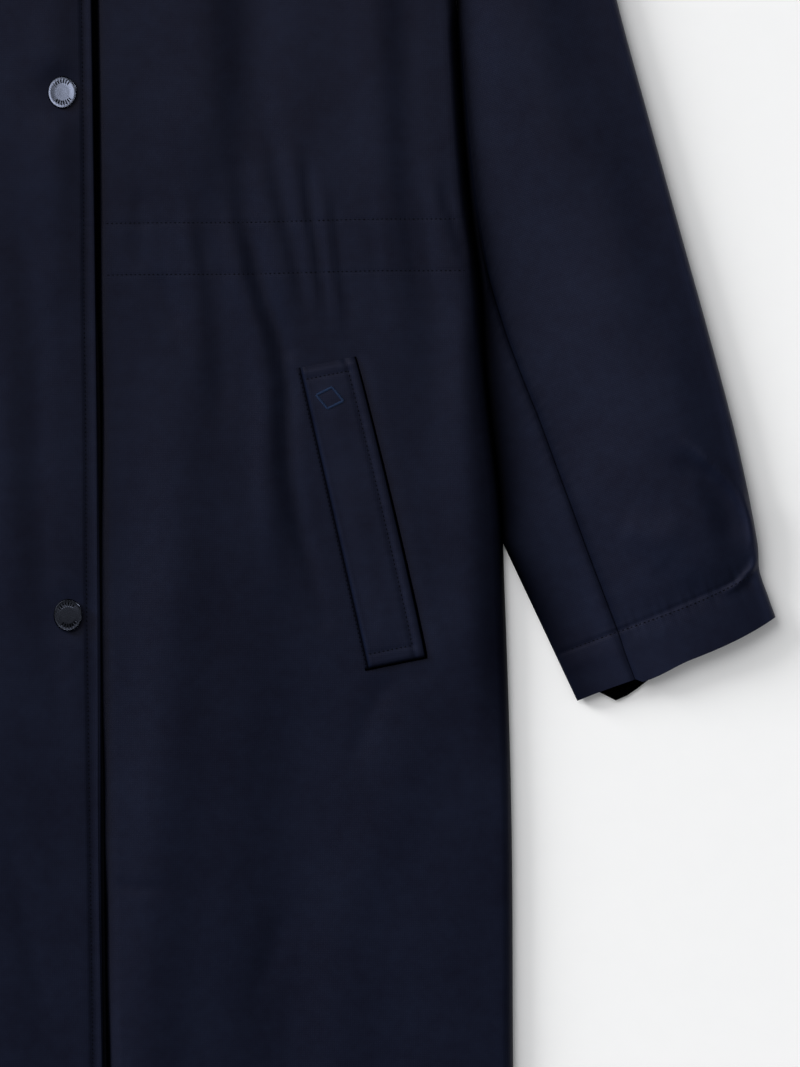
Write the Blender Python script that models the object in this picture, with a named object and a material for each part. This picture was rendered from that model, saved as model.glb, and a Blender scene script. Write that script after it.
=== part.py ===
"""A long snap-front parka, laid flat on its back.

Every panel is a wall of cloth made from rows of points: its outer face, and its
inner face one cloth thickness behind it. Sizes are in millimetres and become
metres in one place, make_piece. X runs across (the wearer's left is +X), Y runs
from the hem to the hood, and Z is up from the surface that the parka lies on.
"""

import math
from collections import namedtuple

import bpy
import numpy as np

MM = 0.001

# Cloth and layers
WALL = 2.8            # shell, thin wadding and lining, quilted to one cloth
SEAM = 0.3            # space between neighbouring pieces
NECK_SEAM = 0.6       # the same, measured upwards across the sloping neckline
REST_GAP = 1.0        # air between the back and the fronts
MAX_GAP = 3.7         # most air under a fold
EDGE_ROLL = 7.0       # how far in from an edge the cloth rolls over
EDGE_WALL = 1.3       # cloth left at the very edge of a seam
FACING = 1.0          # single cloth behind the right front's edge

# Lengths up the garment from the hem
UNDERARM = 795.0
SHOULDER_TIP = 1011.0
NECK_POINT = 1047.0
FRONT_NECK = 965.0
BACK_NECK = 1025.0
HOOD_TOP = 1342.0
MID_Y = HOOD_TOP / 2  # the origin lies under the middle of the whole parka

# Widths from the centre front
NECK_HALF = 75.0
TIP_HALF = 216.0
UNDERLAP = 20.0       # the left front runs this far under the right one
LAP_RAMP = (24.0, 52.0)
FACING_REACH = (-14.0, 1.6)   # from this x to this far past the flap's edge

# Snaps and pocket welts
SNAP_WIDE, SNAP_TALL = 8.7, 9.7     # half sizes: the caps are slightly oval
SNAP_HEIGHT = 2.2
SNAP_LEVELS = (111.0, 422.2, 735.5, 938.0)
WELT_THICK = 2.4
WELT_STILL = 36.0     # the front stays flat this far round the welt's middle line

# Named rows. A length or width between two rows comes from a smooth curve.
Level = namedtuple("Level", "up half_width")
SIDE_SEAM = [
    Level(0, 261), Level(150, 262), Level(300, 263.3), Level(430, 261.4),
    Level(487, 259.8), Level(523, 256.2), Level(565, 252.2), Level(615, 250.3),
    Level(655, 245.5), Level(700, 241.8), Level(742, 239.7), Level(UNDERARM, 237.5),
]
ARMHOLE = [
    Level(UNDERARM, 237.5), Level(820, 220), Level(855, 202), Level(905, 194),
    Level(958, 199), Level(SHOULDER_TIP, TIP_HALF),
]
NECK_STEPS = (0, 14, 34, 55, NECK_HALF)   # corners of the necklines
FLAP_EDGE = [
    Level(0, 16.2), Level(250, 16.6), Level(400, 18.5), Level(560, 18.9),
    Level(700, 19.2), Level(FRONT_NECK, 19.0),
]

# The sleeve lies beside the body: each section runs from its inner edge to its
# outer edge, arched by bow two thirds of the way. seam is where the front seam crosses it, from the
# inner edge (0) to the outer edge (1), and crown is how far it stands up.
Section = namedtuple("Section", "inner_x inner_up outer_x outer_up bow seam crown")
SLEEVE = [
    Section(241.0, 795.0, 216.3, 1011.0, 27, 0.03, 0.0),
    Section(242.6, 772, 251, 995, 22, 0.03, 0.6),
    Section(243.4, 742, 281, 962, 16, 0.03, 1.6),
    Section(244.8, 700, 304, 912, 11, 0.03, 2.4),
    Section(247.6, 655, 321, 852, 7, 0.03, 2.7),
    Section(251.8, 615, 334, 787, 4, 0.05, 2.7),
    Section(253.6, 570, 352, 716, 1, 0.12, 2.7),
    Section(257.7, 523, 370, 647, 0, 0.19, 2.7),
    Section(261.4, 487, 386.5, 584, 0, 0.25, 2.7),
    Section(265.4, 452, 402, 521, 0, 0.305, 2.7),
    Section(279.0, 420, 413, 463, -2, 0.31, 2.6),
    Section(291.5, 393.5, 414.5, 443, -3.5, 0.30, 1.6),
    Section(297.0, 381, 419.5, 427, -3.8, 0.292, 1.8),
    Section(304.2, 365.8, 423.8, 414.4, -4, 0.285, 1.8),
]
# The under layer of the sleeve's hem slips out by this much, between these shares
HEM_SLIP = 8.5
HEM_SLIP_SHARES = (0.13, 0.21, 0.56)

# The hood's outline, from the neck point to the crown
Outline = namedtuple("Outline", "half_width up")
HOOD_EDGE = [
    Outline(NECK_HALF, NECK_POINT), Outline(103, 1078), Outline(120, 1128),
    Outline(124, 1190), Outline(113, 1250), Outline(86, 1302),
    Outline(48, 1333), Outline(0, HOOD_TOP),
]
FACE_OPENING = (990.0, 1300.0)   # the hood's front edges part between these
FACE_HALF = 26.0

# The largest folds: from start to end, half width across, height (+ up)
Fold = namedtuple("Fold", "x0 up0 x1 up1 spread height")
FOLDS_LEFT = [
    Fold(108, 800, 113, 665, 22, -0.8),     # down from the chest
    Fold(105, 648, 133, 540, 15, -0.9),     # groove through the waist
    Fold(133, 530, 150, 430, 18, -0.8),
    Fold(140, 668, 156, 600, 9, -0.9),      # sharp crease in the gathers
    Fold(162, 640, 166, 590, 10, 1.9),
    Fold(58, 600, 46, 400, 24, 1.4),        # long swell beside the edge
    Fold(45, 400, 34, 120, 22, 1.5),
    Fold(84, 640, 80, 520, 13, -0.7),
    Fold(112, 600, 104, 620, 14, 0.9),
    Fold(202, 692, 202, 620, 10, -0.8),
    Fold(216, 680, 228, 600, 14, 1.2),
    Fold(106, 470, 98, 60, 26, -0.9),       # valley down the skirt
    Fold(214, 384, 176, 200, 26, 1.3),      # swell below the pocket
    Fold(136, 300, 100, 160, 20, -0.6),
    Fold(140, 1000, 150, 840, 24, 0.9),
    Fold(75, 930, 92, 800, 20, 0.7),
]
FOLDS_RIGHT = [
    Fold(96, 790, 106, 672, 24, -0.8),
    Fold(116, 650, 138, 548, 14, -0.9),
    Fold(138, 520, 160, 420, 20, -0.7),
    Fold(150, 672, 160, 606, 9, -0.9),
    Fold(172, 646, 174, 588, 11, 1.8),
    Fold(70, 610, 58, 420, 22, 1.4),
    Fold(56, 400, 48, 90, 24, 1.4),
    Fold(90, 648, 88, 560, 12, -0.7),
    Fold(206, 700, 204, 610, 11, -0.8),
    Fold(222, 684, 232, 596, 13, 1.1),
    Fold(118, 440, 112, 40, 28, -0.9),
    Fold(216, 372, 190, 170, 24, 1.2),
    Fold(132, 1000, 146, 850, 24, 0.9),
    Fold(78, 920, 88, 806, 20, 0.7),
]
FOLDS_SLEEVE = [
    Fold(368, 516, 402, 500, 10, -1.0),     # crease at the elbow's outer side
    Fold(398, 500, 406, 452, 9, -1.0),
    Fold(352, 446, 366, 432, 12, -0.6),
    Fold(300, 880, 322, 770, 20, -0.7),
    Fold(262, 900, 292, 760, 18, 0.9),
]
FOLDS_HOOD = [
    Fold(60, 1060, 92, 1200, 18, 1.2),
    Fold(40, 1010, 66, 1030, 12, -0.6),
    Fold(70, 1270, 40, 1310, 14, -0.6),
]

# The pocket welt's corners on the left front: (x, up)
Corner = namedtuple("Corner", "x up")
WELT_TOP_IN = Corner(138.4, 568.1)
WELT_TOP_OUT = Corner(173.6, 574.6)
WELT_LOW_OUT = Corner(213.0, 393.6)
WELT_LOW_IN = Corner(176.6, 386.8)

NAVY = (0.0105, 0.0135, 0.026)
DEEP_NAVY = (0.006, 0.008, 0.016)
GUNMETAL = (0.07, 0.08, 0.11)


def curve(rows, key, value, at):
    """Read the named column `value` of a table at a place along column `key`."""
    keys = np.array([getattr(row, key) for row in rows], float)
    values = np.array([getattr(row, value) for row in rows], float)
    slopes = np.gradient(values, keys)
    at = np.clip(np.asarray(at, float), keys[0], keys[-1])
    i = np.clip(np.searchsorted(keys, at, side="right") - 1, 0, len(keys) - 2)
    span = keys[i + 1] - keys[i]
    t = (at - keys[i]) / span
    return ((2 * t**3 - 3 * t**2 + 1) * values[i] + (t**3 - 2 * t**2 + t) * span * slopes[i]
            + (-2 * t**3 + 3 * t**2) * values[i + 1] + (t**3 - t**2) * span * slopes[i + 1])


def ease(t):
    """A soft step from 0 to 1."""
    t = np.clip(t, 0, 1)
    return t * t * (3 - 2 * t)


def fold_height(folds, x, up):
    """How far the folds lift the cloth at a place."""
    total = 0.0
    for fold in folds:
        run_x, run_up = fold.x1 - fold.x0, fold.up1 - fold.up0
        along = ((x - fold.x0) * run_x + (up - fold.up0) * run_up) / (run_x**2 + run_up**2)
        t = np.clip(along, 0, 1)
        away = np.hypot(x - fold.x0 - t * run_x, up - fold.up0 - t * run_up)
        total = total + fold.height * np.exp(-(away / fold.spread) ** 2)
    return total


def roll(inside):
    """Share of the full height at a distance inside a rolled edge: 0 at it, 1 past the roll."""
    t = np.clip(inside / EDGE_ROLL, 0, 1)
    return np.sqrt(1 - (1 - t) ** 2)


def edge_steps(count, length):
    """Places along a length that ends in a rolled edge, close together in the roll."""
    rolled = [length - EDGE_ROLL, length - 0.35 * EDGE_ROLL, length]
    plain = np.linspace(0, rolled[0], count)
    return np.concatenate([plain, rolled[1:]])


def make_piece(name, outer, inner, colour, roughness=0.75, metallic=0.0):
    """Close a wall between two sheets of points, rows by columns, and name it.

    Seen from outside, the outer sheet's columns run to the right and its rows up.
    """
    rows, columns = outer.shape[:2]
    points = np.concatenate([outer.reshape(-1, 3), inner.reshape(-1, 3)]) * MM
    points[:, 1] -= MID_Y * MM
    back = rows * columns
    faces = []
    for r in range(rows - 1):
        for c in range(columns - 1):
            a = r * columns + c
            quad = (a, a + 1, a + columns + 1, a + columns)
            faces.append(quad)
            faces.append(tuple(back + i for i in reversed(quad)))
    rim = [(r, 0) for r in range(rows - 1, 0, -1)] + [(0, c) for c in range(columns - 1)]
    rim += [(r, columns - 1) for r in range(rows - 1)]
    rim += [(rows - 1, c) for c in range(columns - 1, 0, -1)]
    ring = [r * columns + c for r, c in rim]
    for a, b in zip(ring, ring[1:] + ring[:1]):
        faces.append((b, a, back + a, back + b))
    mesh = bpy.data.meshes.new(name)
    mesh.from_pydata([tuple(p) for p in points], [], faces)
    mesh.validate()
    mesh.shade_smooth()
    mesh.set_sharp_from_angle(angle=math.radians(40))
    piece = bpy.data.objects.new(name, mesh)
    bpy.context.scene.collection.objects.link(piece)
    piece.data.materials.append(finish(colour, roughness, metallic))
    return piece


def finish(colour, roughness, metallic):
    """One Principled material for each colour and surface."""
    name = f"finish_{colour[0]:.3f}_{roughness:.2f}_{metallic:.0f}"
    if name in bpy.data.materials:
        return bpy.data.materials[name]
    material = bpy.data.materials.new(name)
    material.use_nodes = True
    shader = material.node_tree.nodes["Principled BSDF"]
    shader.inputs["Base Color"].default_value = (*colour, 1)
    shader.inputs["Roughness"].default_value = roughness
    shader.inputs["Metallic"].default_value = metallic
    return material


def mirror(sheet):
    """The same sheet on the wearer's other side, still facing outwards."""
    flipped = sheet[:, ::-1].copy()
    flipped[..., 0] *= -1
    return flipped


def stack(x, up, z):
    return np.stack(np.broadcast_arrays(x, up, z), axis=-1).astype(float)


# ---- heights of the layers -------------------------------------------------

LEFT_UNDERSIDE = WALL + REST_GAP
FACING_UNDERSIDE = LEFT_UNDERSIDE + WALL + SEAM
FLAP_UNDERSIDE = FACING_UNDERSIDE + FACING + SEAM


def still(x, up):
    """0 where a front stays flat, under the lap and the welt, and 1 elsewhere."""
    beside_lap = ease((x - 27) / 18)
    length = WELT_TOP_IN.up - WELT_LOW_IN.up
    t = (WELT_TOP_IN.up - up) / length
    top = (WELT_TOP_IN.x + WELT_TOP_OUT.x) / 2
    low = (WELT_LOW_IN.x + WELT_LOW_OUT.x) / 2
    beside = np.abs(x - top - np.clip(t, -0.2, 1.2) * (low - top)) - WELT_STILL
    beyond = (np.abs(t - 0.5) - 0.5) * length - WELT_STILL
    return beside_lap * ease(np.maximum(beside, beyond) / 16)


def front_underside(x, up, folds, lifted):
    """The inner face of a front: air and folds over the back, and the lap over the other front."""
    air = REST_GAP + fold_height(folds, x, up) * still(x, up)
    low = WALL + np.clip(air, SEAM, MAX_GAP)
    if not lifted:
        return low
    lap = 1 - ease((x - LAP_RAMP[0]) / (LAP_RAMP[1] - LAP_RAMP[0]))
    return low + (FLAP_UNDERSIDE - low) * lap


def rolled_layer(bottom, inside):
    """Outer and inner heights of a front layer, rolled over at the outline."""
    seat = WALL + SEAM
    top = bottom + WALL
    share = roll(inside)
    outer = seat + EDGE_WALL + (top - seat - EDGE_WALL) * share
    inner = np.maximum(seat, np.minimum(outer - EDGE_WALL, seat + (bottom - seat) * share))
    return outer, inner


def under_layer(inside):
    """Outer and inner heights of an under layer: flat on the surface, lifted at the outline."""
    share = roll(inside)
    return (WALL - EDGE_WALL) * (1 - share), np.full_like(share, WALL)


# ---- plans of the panels ---------------------------------------------------

YOKE_RISE = SHOULDER_TIP - UNDERARM
YOKE_STEPS = edge_steps(6, YOKE_RISE) / YOKE_RISE   # shares of the way to the shoulder
ARMHOLE_UP = UNDERARM + YOKE_STEPS * YOKE_RISE
ARMHOLE_X = curve(ARMHOLE, "up", "half_width", ARMHOLE_UP)


def armhole(up):
    """The armhole seam, straight between its corners, so both its sides follow one line."""
    return np.interp(up, ARMHOLE_UP, ARMHOLE_X)


def shoulder(x):
    """Height of the shoulder seam."""
    slope = (SHOULDER_TIP - NECK_POINT) / (TIP_HALF - NECK_HALF)
    return NECK_POINT + (np.abs(x) - NECK_HALF) * slope


def neckline(x, depth):
    """A neckline that dips from the neck points to the centre, straight between its corners."""
    steps = np.array(NECK_STEPS, float)
    corners = NECK_POINT - depth * np.cos(steps / NECK_HALF * math.pi / 2)
    return np.interp(np.abs(x), steps, corners)


def body_plan(inner_edge, shoulder_steps, skirt_rows, depth):
    """Plan of half a body panel: x, up, and the distance inside its rolled edges."""
    skirt = np.linspace(0, UNDERARM, skirt_rows)
    yoke = YOKE_STEPS[1:]
    start = inner_edge(FRONT_NECK)
    lap = [start, -NECK_STEPS[1]] if start < 0 else []
    seam = NECK_HALF + edge_steps(shoulder_steps, TIP_HALF - NECK_HALF)
    top_x = np.concatenate([lap, NECK_STEPS[:-1], seam])
    share = (top_x - start) / (TIP_HALF - start)
    x, up, inside = [], [], []
    for level in skirt:
        side = curve(SIDE_SEAM, "up", "half_width", level)
        start = inner_edge(level)
        row = side - (1 - share) * (side - start)
        x.append(row)
        up.append(np.full_like(row, level))
        inside.append(side - row)
    top = np.where(np.abs(top_x) < NECK_HALF, neckline(top_x, depth), shoulder(top_x))
    sewn = np.abs(top_x) < NECK_HALF
    for t in yoke:
        side = armhole(UNDERARM + t * YOKE_RISE)
        row = side - (1 - share) * (side - start)
        x.append(row)
        up.append(UNDERARM + t * (top - UNDERARM))
        inside.append(np.where(sewn, EDGE_ROLL, (1 - t) * (top - UNDERARM)))
    x, up, inside = (np.array(part) for part in (x, up, inside))
    fade = ease((up - UNDERARM + 30) / 30)
    side_in = np.concatenate([inside[:skirt_rows], np.full_like(inside[skirt_rows:], EDGE_ROLL)])
    side_in = side_in + fade * EDGE_ROLL
    inside = np.concatenate([side_in[:skirt_rows], inside[skirt_rows:]])
    return x, up, inside


def make_front(name, folds, lap, lifted, rounded):
    """A front, from its centre edge to the side seam, armhole, shoulder and neck.

    lap(level) is how far its edge runs past the centre front.
    """
    x, up, inside = body_plan(lambda level: -lap(level), 8, 20, NECK_POINT - FRONT_NECK)
    outer, inner = rolled_layer(front_underside(x, up, folds, lifted), inside)
    outer, inner = stack(x, up, outer), stack(x, up, inner)
    if rounded:
        outer, inner = turn_edge(outer, inner)
    return outer, inner


def turn_edge(outer, inner):
    """Round the turned edge of the right front: extra columns ease both faces together."""
    steps = ((2.4, 1.0), (0.8, 0.72), (0.0, 0.3))     # distance in, share of half thickness
    half = WALL / 2
    middle = (outer[:, :1] + inner[:, :1]) / 2
    edge_x = outer[:, :1, 0]
    outer_cols, inner_cols = [], []
    for distance, share in reversed(steps):
        for cols, sign in ((outer_cols, 1), (inner_cols, -1)):
            point = middle.copy()
            point[..., 0] = edge_x + distance
            point[..., 2] += sign * half * share
            cols.append(point)
    outer = np.concatenate(outer_cols + [outer[:, 1:]], axis=1)
    inner = np.concatenate(inner_cols + [inner[:, 1:]], axis=1)
    return outer, inner


def make_fronts():
    outer, inner = make_front("front_left", FOLDS_LEFT, lambda level: UNDERLAP, False, False)
    make_piece("front_left", outer, inner, NAVY)
    edge = lambda level: float(curve(FLAP_EDGE, "up", "half_width", level))
    outer, inner = make_front("front_right", FOLDS_RIGHT, edge, True, True)
    make_piece("front_right", mirror(outer), mirror(inner), NAVY)


def make_facing():
    """The strip behind the right front's edge, which peeps out past it lower down."""
    levels = np.linspace(2, FRONT_NECK - 4, 12)
    peep = FACING_REACH[1] * (1 - ease((levels - 560) / 70)) - 1.0 * ease((levels - 560) / 70)
    right = curve(FLAP_EDGE, "up", "half_width", levels) + peep
    left = np.full_like(right, FACING_REACH[0])
    x = np.stack([left, right - 1.0, right], axis=1)
    up = np.repeat(levels[:, None], 3, axis=1)
    thin = np.array([0.0, 0.0, 0.3])
    outer = stack(x, up, FACING_UNDERSIDE + FACING - thin)
    inner = stack(x, up, FACING_UNDERSIDE + thin * 0.5)
    make_piece("facing_right", outer, inner, DEEP_NAVY)


def make_back():
    """The back: it lies on the surface, and its side and shoulder edges lift to meet the fronts."""
    x, up, inside = body_plan(lambda level: 0.0, 4, 10, NECK_POINT - BACK_NECK)
    outer, inner = under_layer(inside)
    halves = []
    for z in (outer, inner):
        half = stack(x, up, z)
        halves.append(np.concatenate([mirror(half)[:, :-1], half], axis=1))
    make_piece("back", halves[0][:, ::-1], halves[1][:, ::-1], NAVY)


# ---- sleeves ---------------------------------------------------------------

SLEEVE_ROWS = 17
HEAD_EASE = 0.35      # of the way from the first section to the second
SHELL_TURN = (90.0, 45.0, 0.0, -45.0, -90.0)   # degrees round a sleeve's edge


def section_point(at, share):
    """Plan place on a section, from its inner edge (0) to its outer edge (1)."""
    inner = np.array([at["inner_x"], at["inner_up"]])
    outer = np.array([at["outer_x"], at["outer_up"]])
    along = outer - inner
    across = np.array([-along[1], along[0]]) / np.hypot(*along)
    return inner + along * share + across * at["bow"] * 6.75 * share**2 * (1 - share)


def sleeve_point(at, share):
    """A section's place, eased into the armhole seam at the sleeve's head."""
    level = UNDERARM + share * YOKE_RISE
    sewn = np.array([armhole(level) + SEAM, level])
    near = max(0.0, 1 - at["place"] / HEAD_EASE)
    return section_point(at, share) + near * (sewn - section_point(HEAD, share))


HEAD = dict(SLEEVE[0]._asdict(), place=0.0)


def sleeve_sections():
    """Sections at even steps down the sleeve, each with its columns' values and its width."""
    keys = np.arange(len(SLEEVE), dtype=float)
    Row = namedtuple("Row", ("key",) + Section._fields)
    rows = [Row(key, *section) for key, section in zip(keys, SLEEVE)]
    places = np.concatenate([[0, HEAD_EASE], np.linspace(1, len(SLEEVE) - 1, SLEEVE_ROWS - 2)])
    for place in places:
        at = {field: float(curve(rows, "key", field, place)) for field in Section._fields}
        at["place"] = place
        at["width"] = math.hypot(at["outer_x"] - at["inner_x"], at["outer_up"] - at["inner_up"])
        yield at


def sleeve_top(at, share, point):
    """Height of the sleeve's upper face, away from its rolled edges."""
    crown = at["crown"] * (1 - (2 * share - 1) ** 2)
    lift = fold_height(FOLDS_SLEEVE, point[0], point[1])
    air = np.clip(REST_GAP + crown + lift, SEAM, MAX_GAP)
    return 2 * WALL + air


def hem_slip(place, share):
    """How far the under layer of the sleeve's hem has slipped out below the upper one."""
    start, most, end = HEM_SLIP_SHARES
    rise = ease((share - start) / (most - start)) * (1 - ease((share - most) / (end - most)))
    return HEM_SLIP * rise * ease((place - (len(SLEEVE) - 3)) / 2)


def sleeve_piece(outer_side):
    """Outer and inner faces of one sleeve piece, from the front seam round its edge to the back."""
    turn = np.radians(SHELL_TURN)
    outer_rows, inner_rows = [], []
    for at in sleeve_sections():
        roll_share = EDGE_ROLL / at["width"]
        seam_share = SEAM / at["width"] / 2
        if outer_side:
            front = np.linspace(at["seam"] + seam_share, 1 - roll_share, 7)
            under = np.linspace(1 - roll_share, 0.5 + seam_share, 3)[1:]
            edge, sign = 1.0, 1
        else:
            seam = max(at["seam"], roll_share + 0.012)
            front = np.linspace(seam - seam_share, roll_share, 4)
            under = np.linspace(roll_share, 0.5 - seam_share, 4)[1:]
            edge, sign = 0.0, -1
        if outer_side:
            front[0] = max(front[0], roll_share + 0.012 + seam_share)
        outer, inner = [], []
        for share in front[:-1]:
            point = sleeve_point(at, share)
            z = sleeve_top(at, share, point)
            outer.append((*point, z))
            inner.append((*point, z - WALL))
        point = sleeve_point(at, front[-1])
        top = sleeve_top(at, front[-1], point)
        tip = sleeve_point(at, edge)
        reach = (tip - point) / np.hypot(*(tip - point))
        for angle in turn:
            out, height = math.cos(angle), math.sin(angle)
            place = point + reach * EDGE_ROLL * out
            outer.append((*place, top / 2 * (1 + height)))
            place = point + reach * (EDGE_ROLL - WALL) * out
            inner.append((*place, top / 2 + (top / 2 - WALL) * height))
        for share in under:
            point = sleeve_point(at, share)
            point = point + np.array([0.38, -0.92]) * hem_slip(at["place"], share)
            outer.append((*point, 0.0))
            inner.append((*point, WALL))
        outer_rows.append(outer)
        inner_rows.append(inner)
    outer, inner = np.array(outer_rows)[::-1], np.array(inner_rows)[::-1]
    if sign < 0:
        outer, inner = outer[:, ::-1], inner[:, ::-1]
    return outer, inner


def make_sleeves():
    for label, outer_side in (("top", True), ("under", False)):
        outer, inner = sleeve_piece(outer_side)
        make_piece(f"sleeve_{label}_left", outer, inner, NAVY)
        make_piece(f"sleeve_{label}_right", mirror(outer), mirror(inner), NAVY)


# ---- pocket welts ----------------------------------------------------------

def welt_sheets(folds, lifted):
    """The welt's faces, made from the front's own points and moved out."""
    corner = lambda c: np.array([c.x, c.up])
    rows, columns = np.linspace(0, 1, 8), np.array([0, 0.06, 0.5, 0.88, 0.97, 1])
    lift = np.array([0.5, 1, 1, 1, 0.8, 0.4])     # share of the thickness, column by column
    outer, inner = [], []
    for r in rows:
        start = corner(WELT_LOW_IN) * (1 - r) + corner(WELT_TOP_IN) * r
        end = corner(WELT_LOW_OUT) * (1 - r) + corner(WELT_TOP_OUT) * r
        place = start + (end - start) * columns[:, None]
        x, up = place[:, 0], place[:, 1]
        panel = front_underside(x, up, folds, lifted) + WALL
        outer.append(stack(x, up, panel + SEAM + WELT_THICK * lift))
        inner.append(stack(x, up, panel + SEAM))
    return np.array(outer), np.array(inner)


def make_welts():
    outer, inner = welt_sheets(FOLDS_LEFT, False)
    make_piece("welt_left", outer, inner, NAVY)
    outer, inner = welt_sheets(FOLDS_RIGHT, True)
    make_piece("welt_right", mirror(outer), mirror(inner), NAVY)


# ---- hood ------------------------------------------------------------------

def hood_outline(shares):
    """Points along the hood's edge, from the neck point (0) to the crown (1)."""
    Row = namedtuple("Row", "key half_width up")
    places = np.array([(row.half_width, row.up) for row in HOOD_EDGE])
    run = np.concatenate([[0], np.cumsum(np.hypot(*np.diff(places, axis=0).T))])
    rows = [Row(k, *p) for k, p in zip(run / run[-1], places)]
    return np.stack([curve(rows, "key", name, shares) for name in ("half_width", "up")], axis=-1)


def make_hood_sides():
    """The hood's sides: upper layers with a face opening between their front edges."""
    along = np.linspace(0, 1, 12)
    across = edge_steps(6, 100.0) / 100.0
    outline = hood_outline(along)
    low, high = FACE_OPENING
    start_up = FRONT_NECK + NECK_SEAM
    opening_up = start_up + along * (high - start_up)
    part = np.clip((opening_up - low) / (high - low), 0, 1)
    opening = np.stack([SEAM / 2 + FACE_HALF * np.sin(np.pi * part) ** 2, opening_up], axis=-1)
    bottom_x = SEAM / 2 + across * (NECK_HALF - SEAM / 2)
    bottom = np.stack([bottom_x, neckline(bottom_x, NECK_POINT - FRONT_NECK)], axis=-1)
    bottom[:, 1] += NECK_SEAM
    outline[:, 1] += NECK_SEAM * (1 - along)
    top_up = high + across * (HOOD_TOP - high)
    top = np.stack([np.full_like(across, SEAM / 2), top_up], axis=-1)
    outline[:, 0] = np.maximum(outline[:, 0], SEAM / 2)
    s, t = along[:, None, None], across[None, :, None]
    plan = ((1 - t) * opening[:, None] + t * outline[:, None] + (1 - s) * bottom[None]
            + s * top[None] - (1 - s) * (1 - t) * bottom[0] - (1 - s) * t * bottom[-1]
            - s * (1 - t) * top[0] - s * t * top[-1])
    x, up = plan[..., 0], plan[..., 1]
    width = np.hypot(x - x[:, -1:], up - up[:, -1:])
    air = REST_GAP + fold_height(FOLDS_HOOD, x, up)
    outer, inner = rolled_layer(WALL + np.clip(air, SEAM, MAX_GAP), width)
    outer, inner = stack(x, up, outer), stack(x, up, inner)
    make_piece("hood_left", outer, inner, NAVY)
    make_piece("hood_right", mirror(outer), mirror(inner), NAVY)


def make_hood_back():
    """The hood's back: it lies on the surface under the two sides."""
    rows = hood_outline(np.linspace(0, 0.94, 11))
    half = edge_steps(4, 100.0) / 100.0
    share = np.concatenate([-half[::-1], half[1:]])
    x, up, inside = [], [], []
    for i, (half_width, level) in enumerate(rows):
        row = share * half_width
        dip = NECK_POINT - neckline(share * NECK_HALF, NECK_POINT - BACK_NECK)
        dip = dip * max(0.0, 1 - i / 3)
        x.append(row)
        up.append(level - dip + NECK_SEAM)
        inside.append(half_width - np.abs(row))
    x, up, inside = (np.array(part) for part in (x, up, inside))
    outer, inner = under_layer(inside)
    outer, inner = stack(x, up, outer)[:, ::-1], stack(x, up, inner)[:, ::-1]
    make_piece("hood_back", outer, inner, DEEP_NAVY)


# ---- snaps -----------------------------------------------------------------

def make_snaps():
    """Press-stud caps: low stamped discs with a raised rim, on the right front."""
    seat = FLAP_UNDERSIDE + WALL + SEAM
    profile = [(0.0, 0.0), (0.0, 1.3), (0.5, 1.9),     # in from the rim, and height
               (1.2, SNAP_HEIGHT), (2.2, 2.0), (3.4, 1.9)]
    around = 32
    for number, level in enumerate(SNAP_LEVELS, start=1):
        points, faces = [], []
        for inset, height in profile:
            for k in range(around):
                angle = math.tau * k / around
                points.append(((SNAP_WIDE - inset) * math.cos(angle) * MM,
                               (level - MID_Y + (SNAP_TALL - inset) * math.sin(angle)) * MM,
                               (seat + height) * MM))
        for ring in range(len(profile) - 1):
            for k in range(around):
                a, b = ring * around + k, ring * around + (k + 1) % around
                faces.append((a, b, b + around, a + around))
        faces.append(tuple(reversed(range(around))))
        faces.append(tuple(range((len(profile) - 1) * around, len(profile) * around)))
        mesh = bpy.data.meshes.new(f"snap_{number}")
        mesh.from_pydata(points, [], faces)
        mesh.shade_smooth()
        mesh.set_sharp_from_angle(angle=math.radians(30))
        snap = bpy.data.objects.new(f"snap_{number}", mesh)
        bpy.context.scene.collection.objects.link(snap)
        snap.data.materials.append(finish(GUNMETAL, 0.35, 1.0))


def clear_scene():
    for thing in list(bpy.data.objects):
        bpy.data.objects.remove(thing, do_unlink=True)


clear_scene()
make_back()
make_fronts()
make_facing()
make_sleeves()
make_welts()
make_hood_sides()
make_hood_back()
make_snaps()
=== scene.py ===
# %% [markdown]
# # A long snap-front parka, laid flat
#
# The coat is a woven, lightly padded cloth sewn from a few panels. This lesson dresses the
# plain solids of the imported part. Each panel becomes a thin sheet with two faces, made from
# rows of points, because cloth that lies flat is easiest to shape as a height over its plan:
# one function says how high the cloth stands at any place, and everything that lies on the
# cloth, such as a stitch or a pocket welt, asks the same function.

# %% Load the solids
import math
from collections import namedtuple

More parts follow.
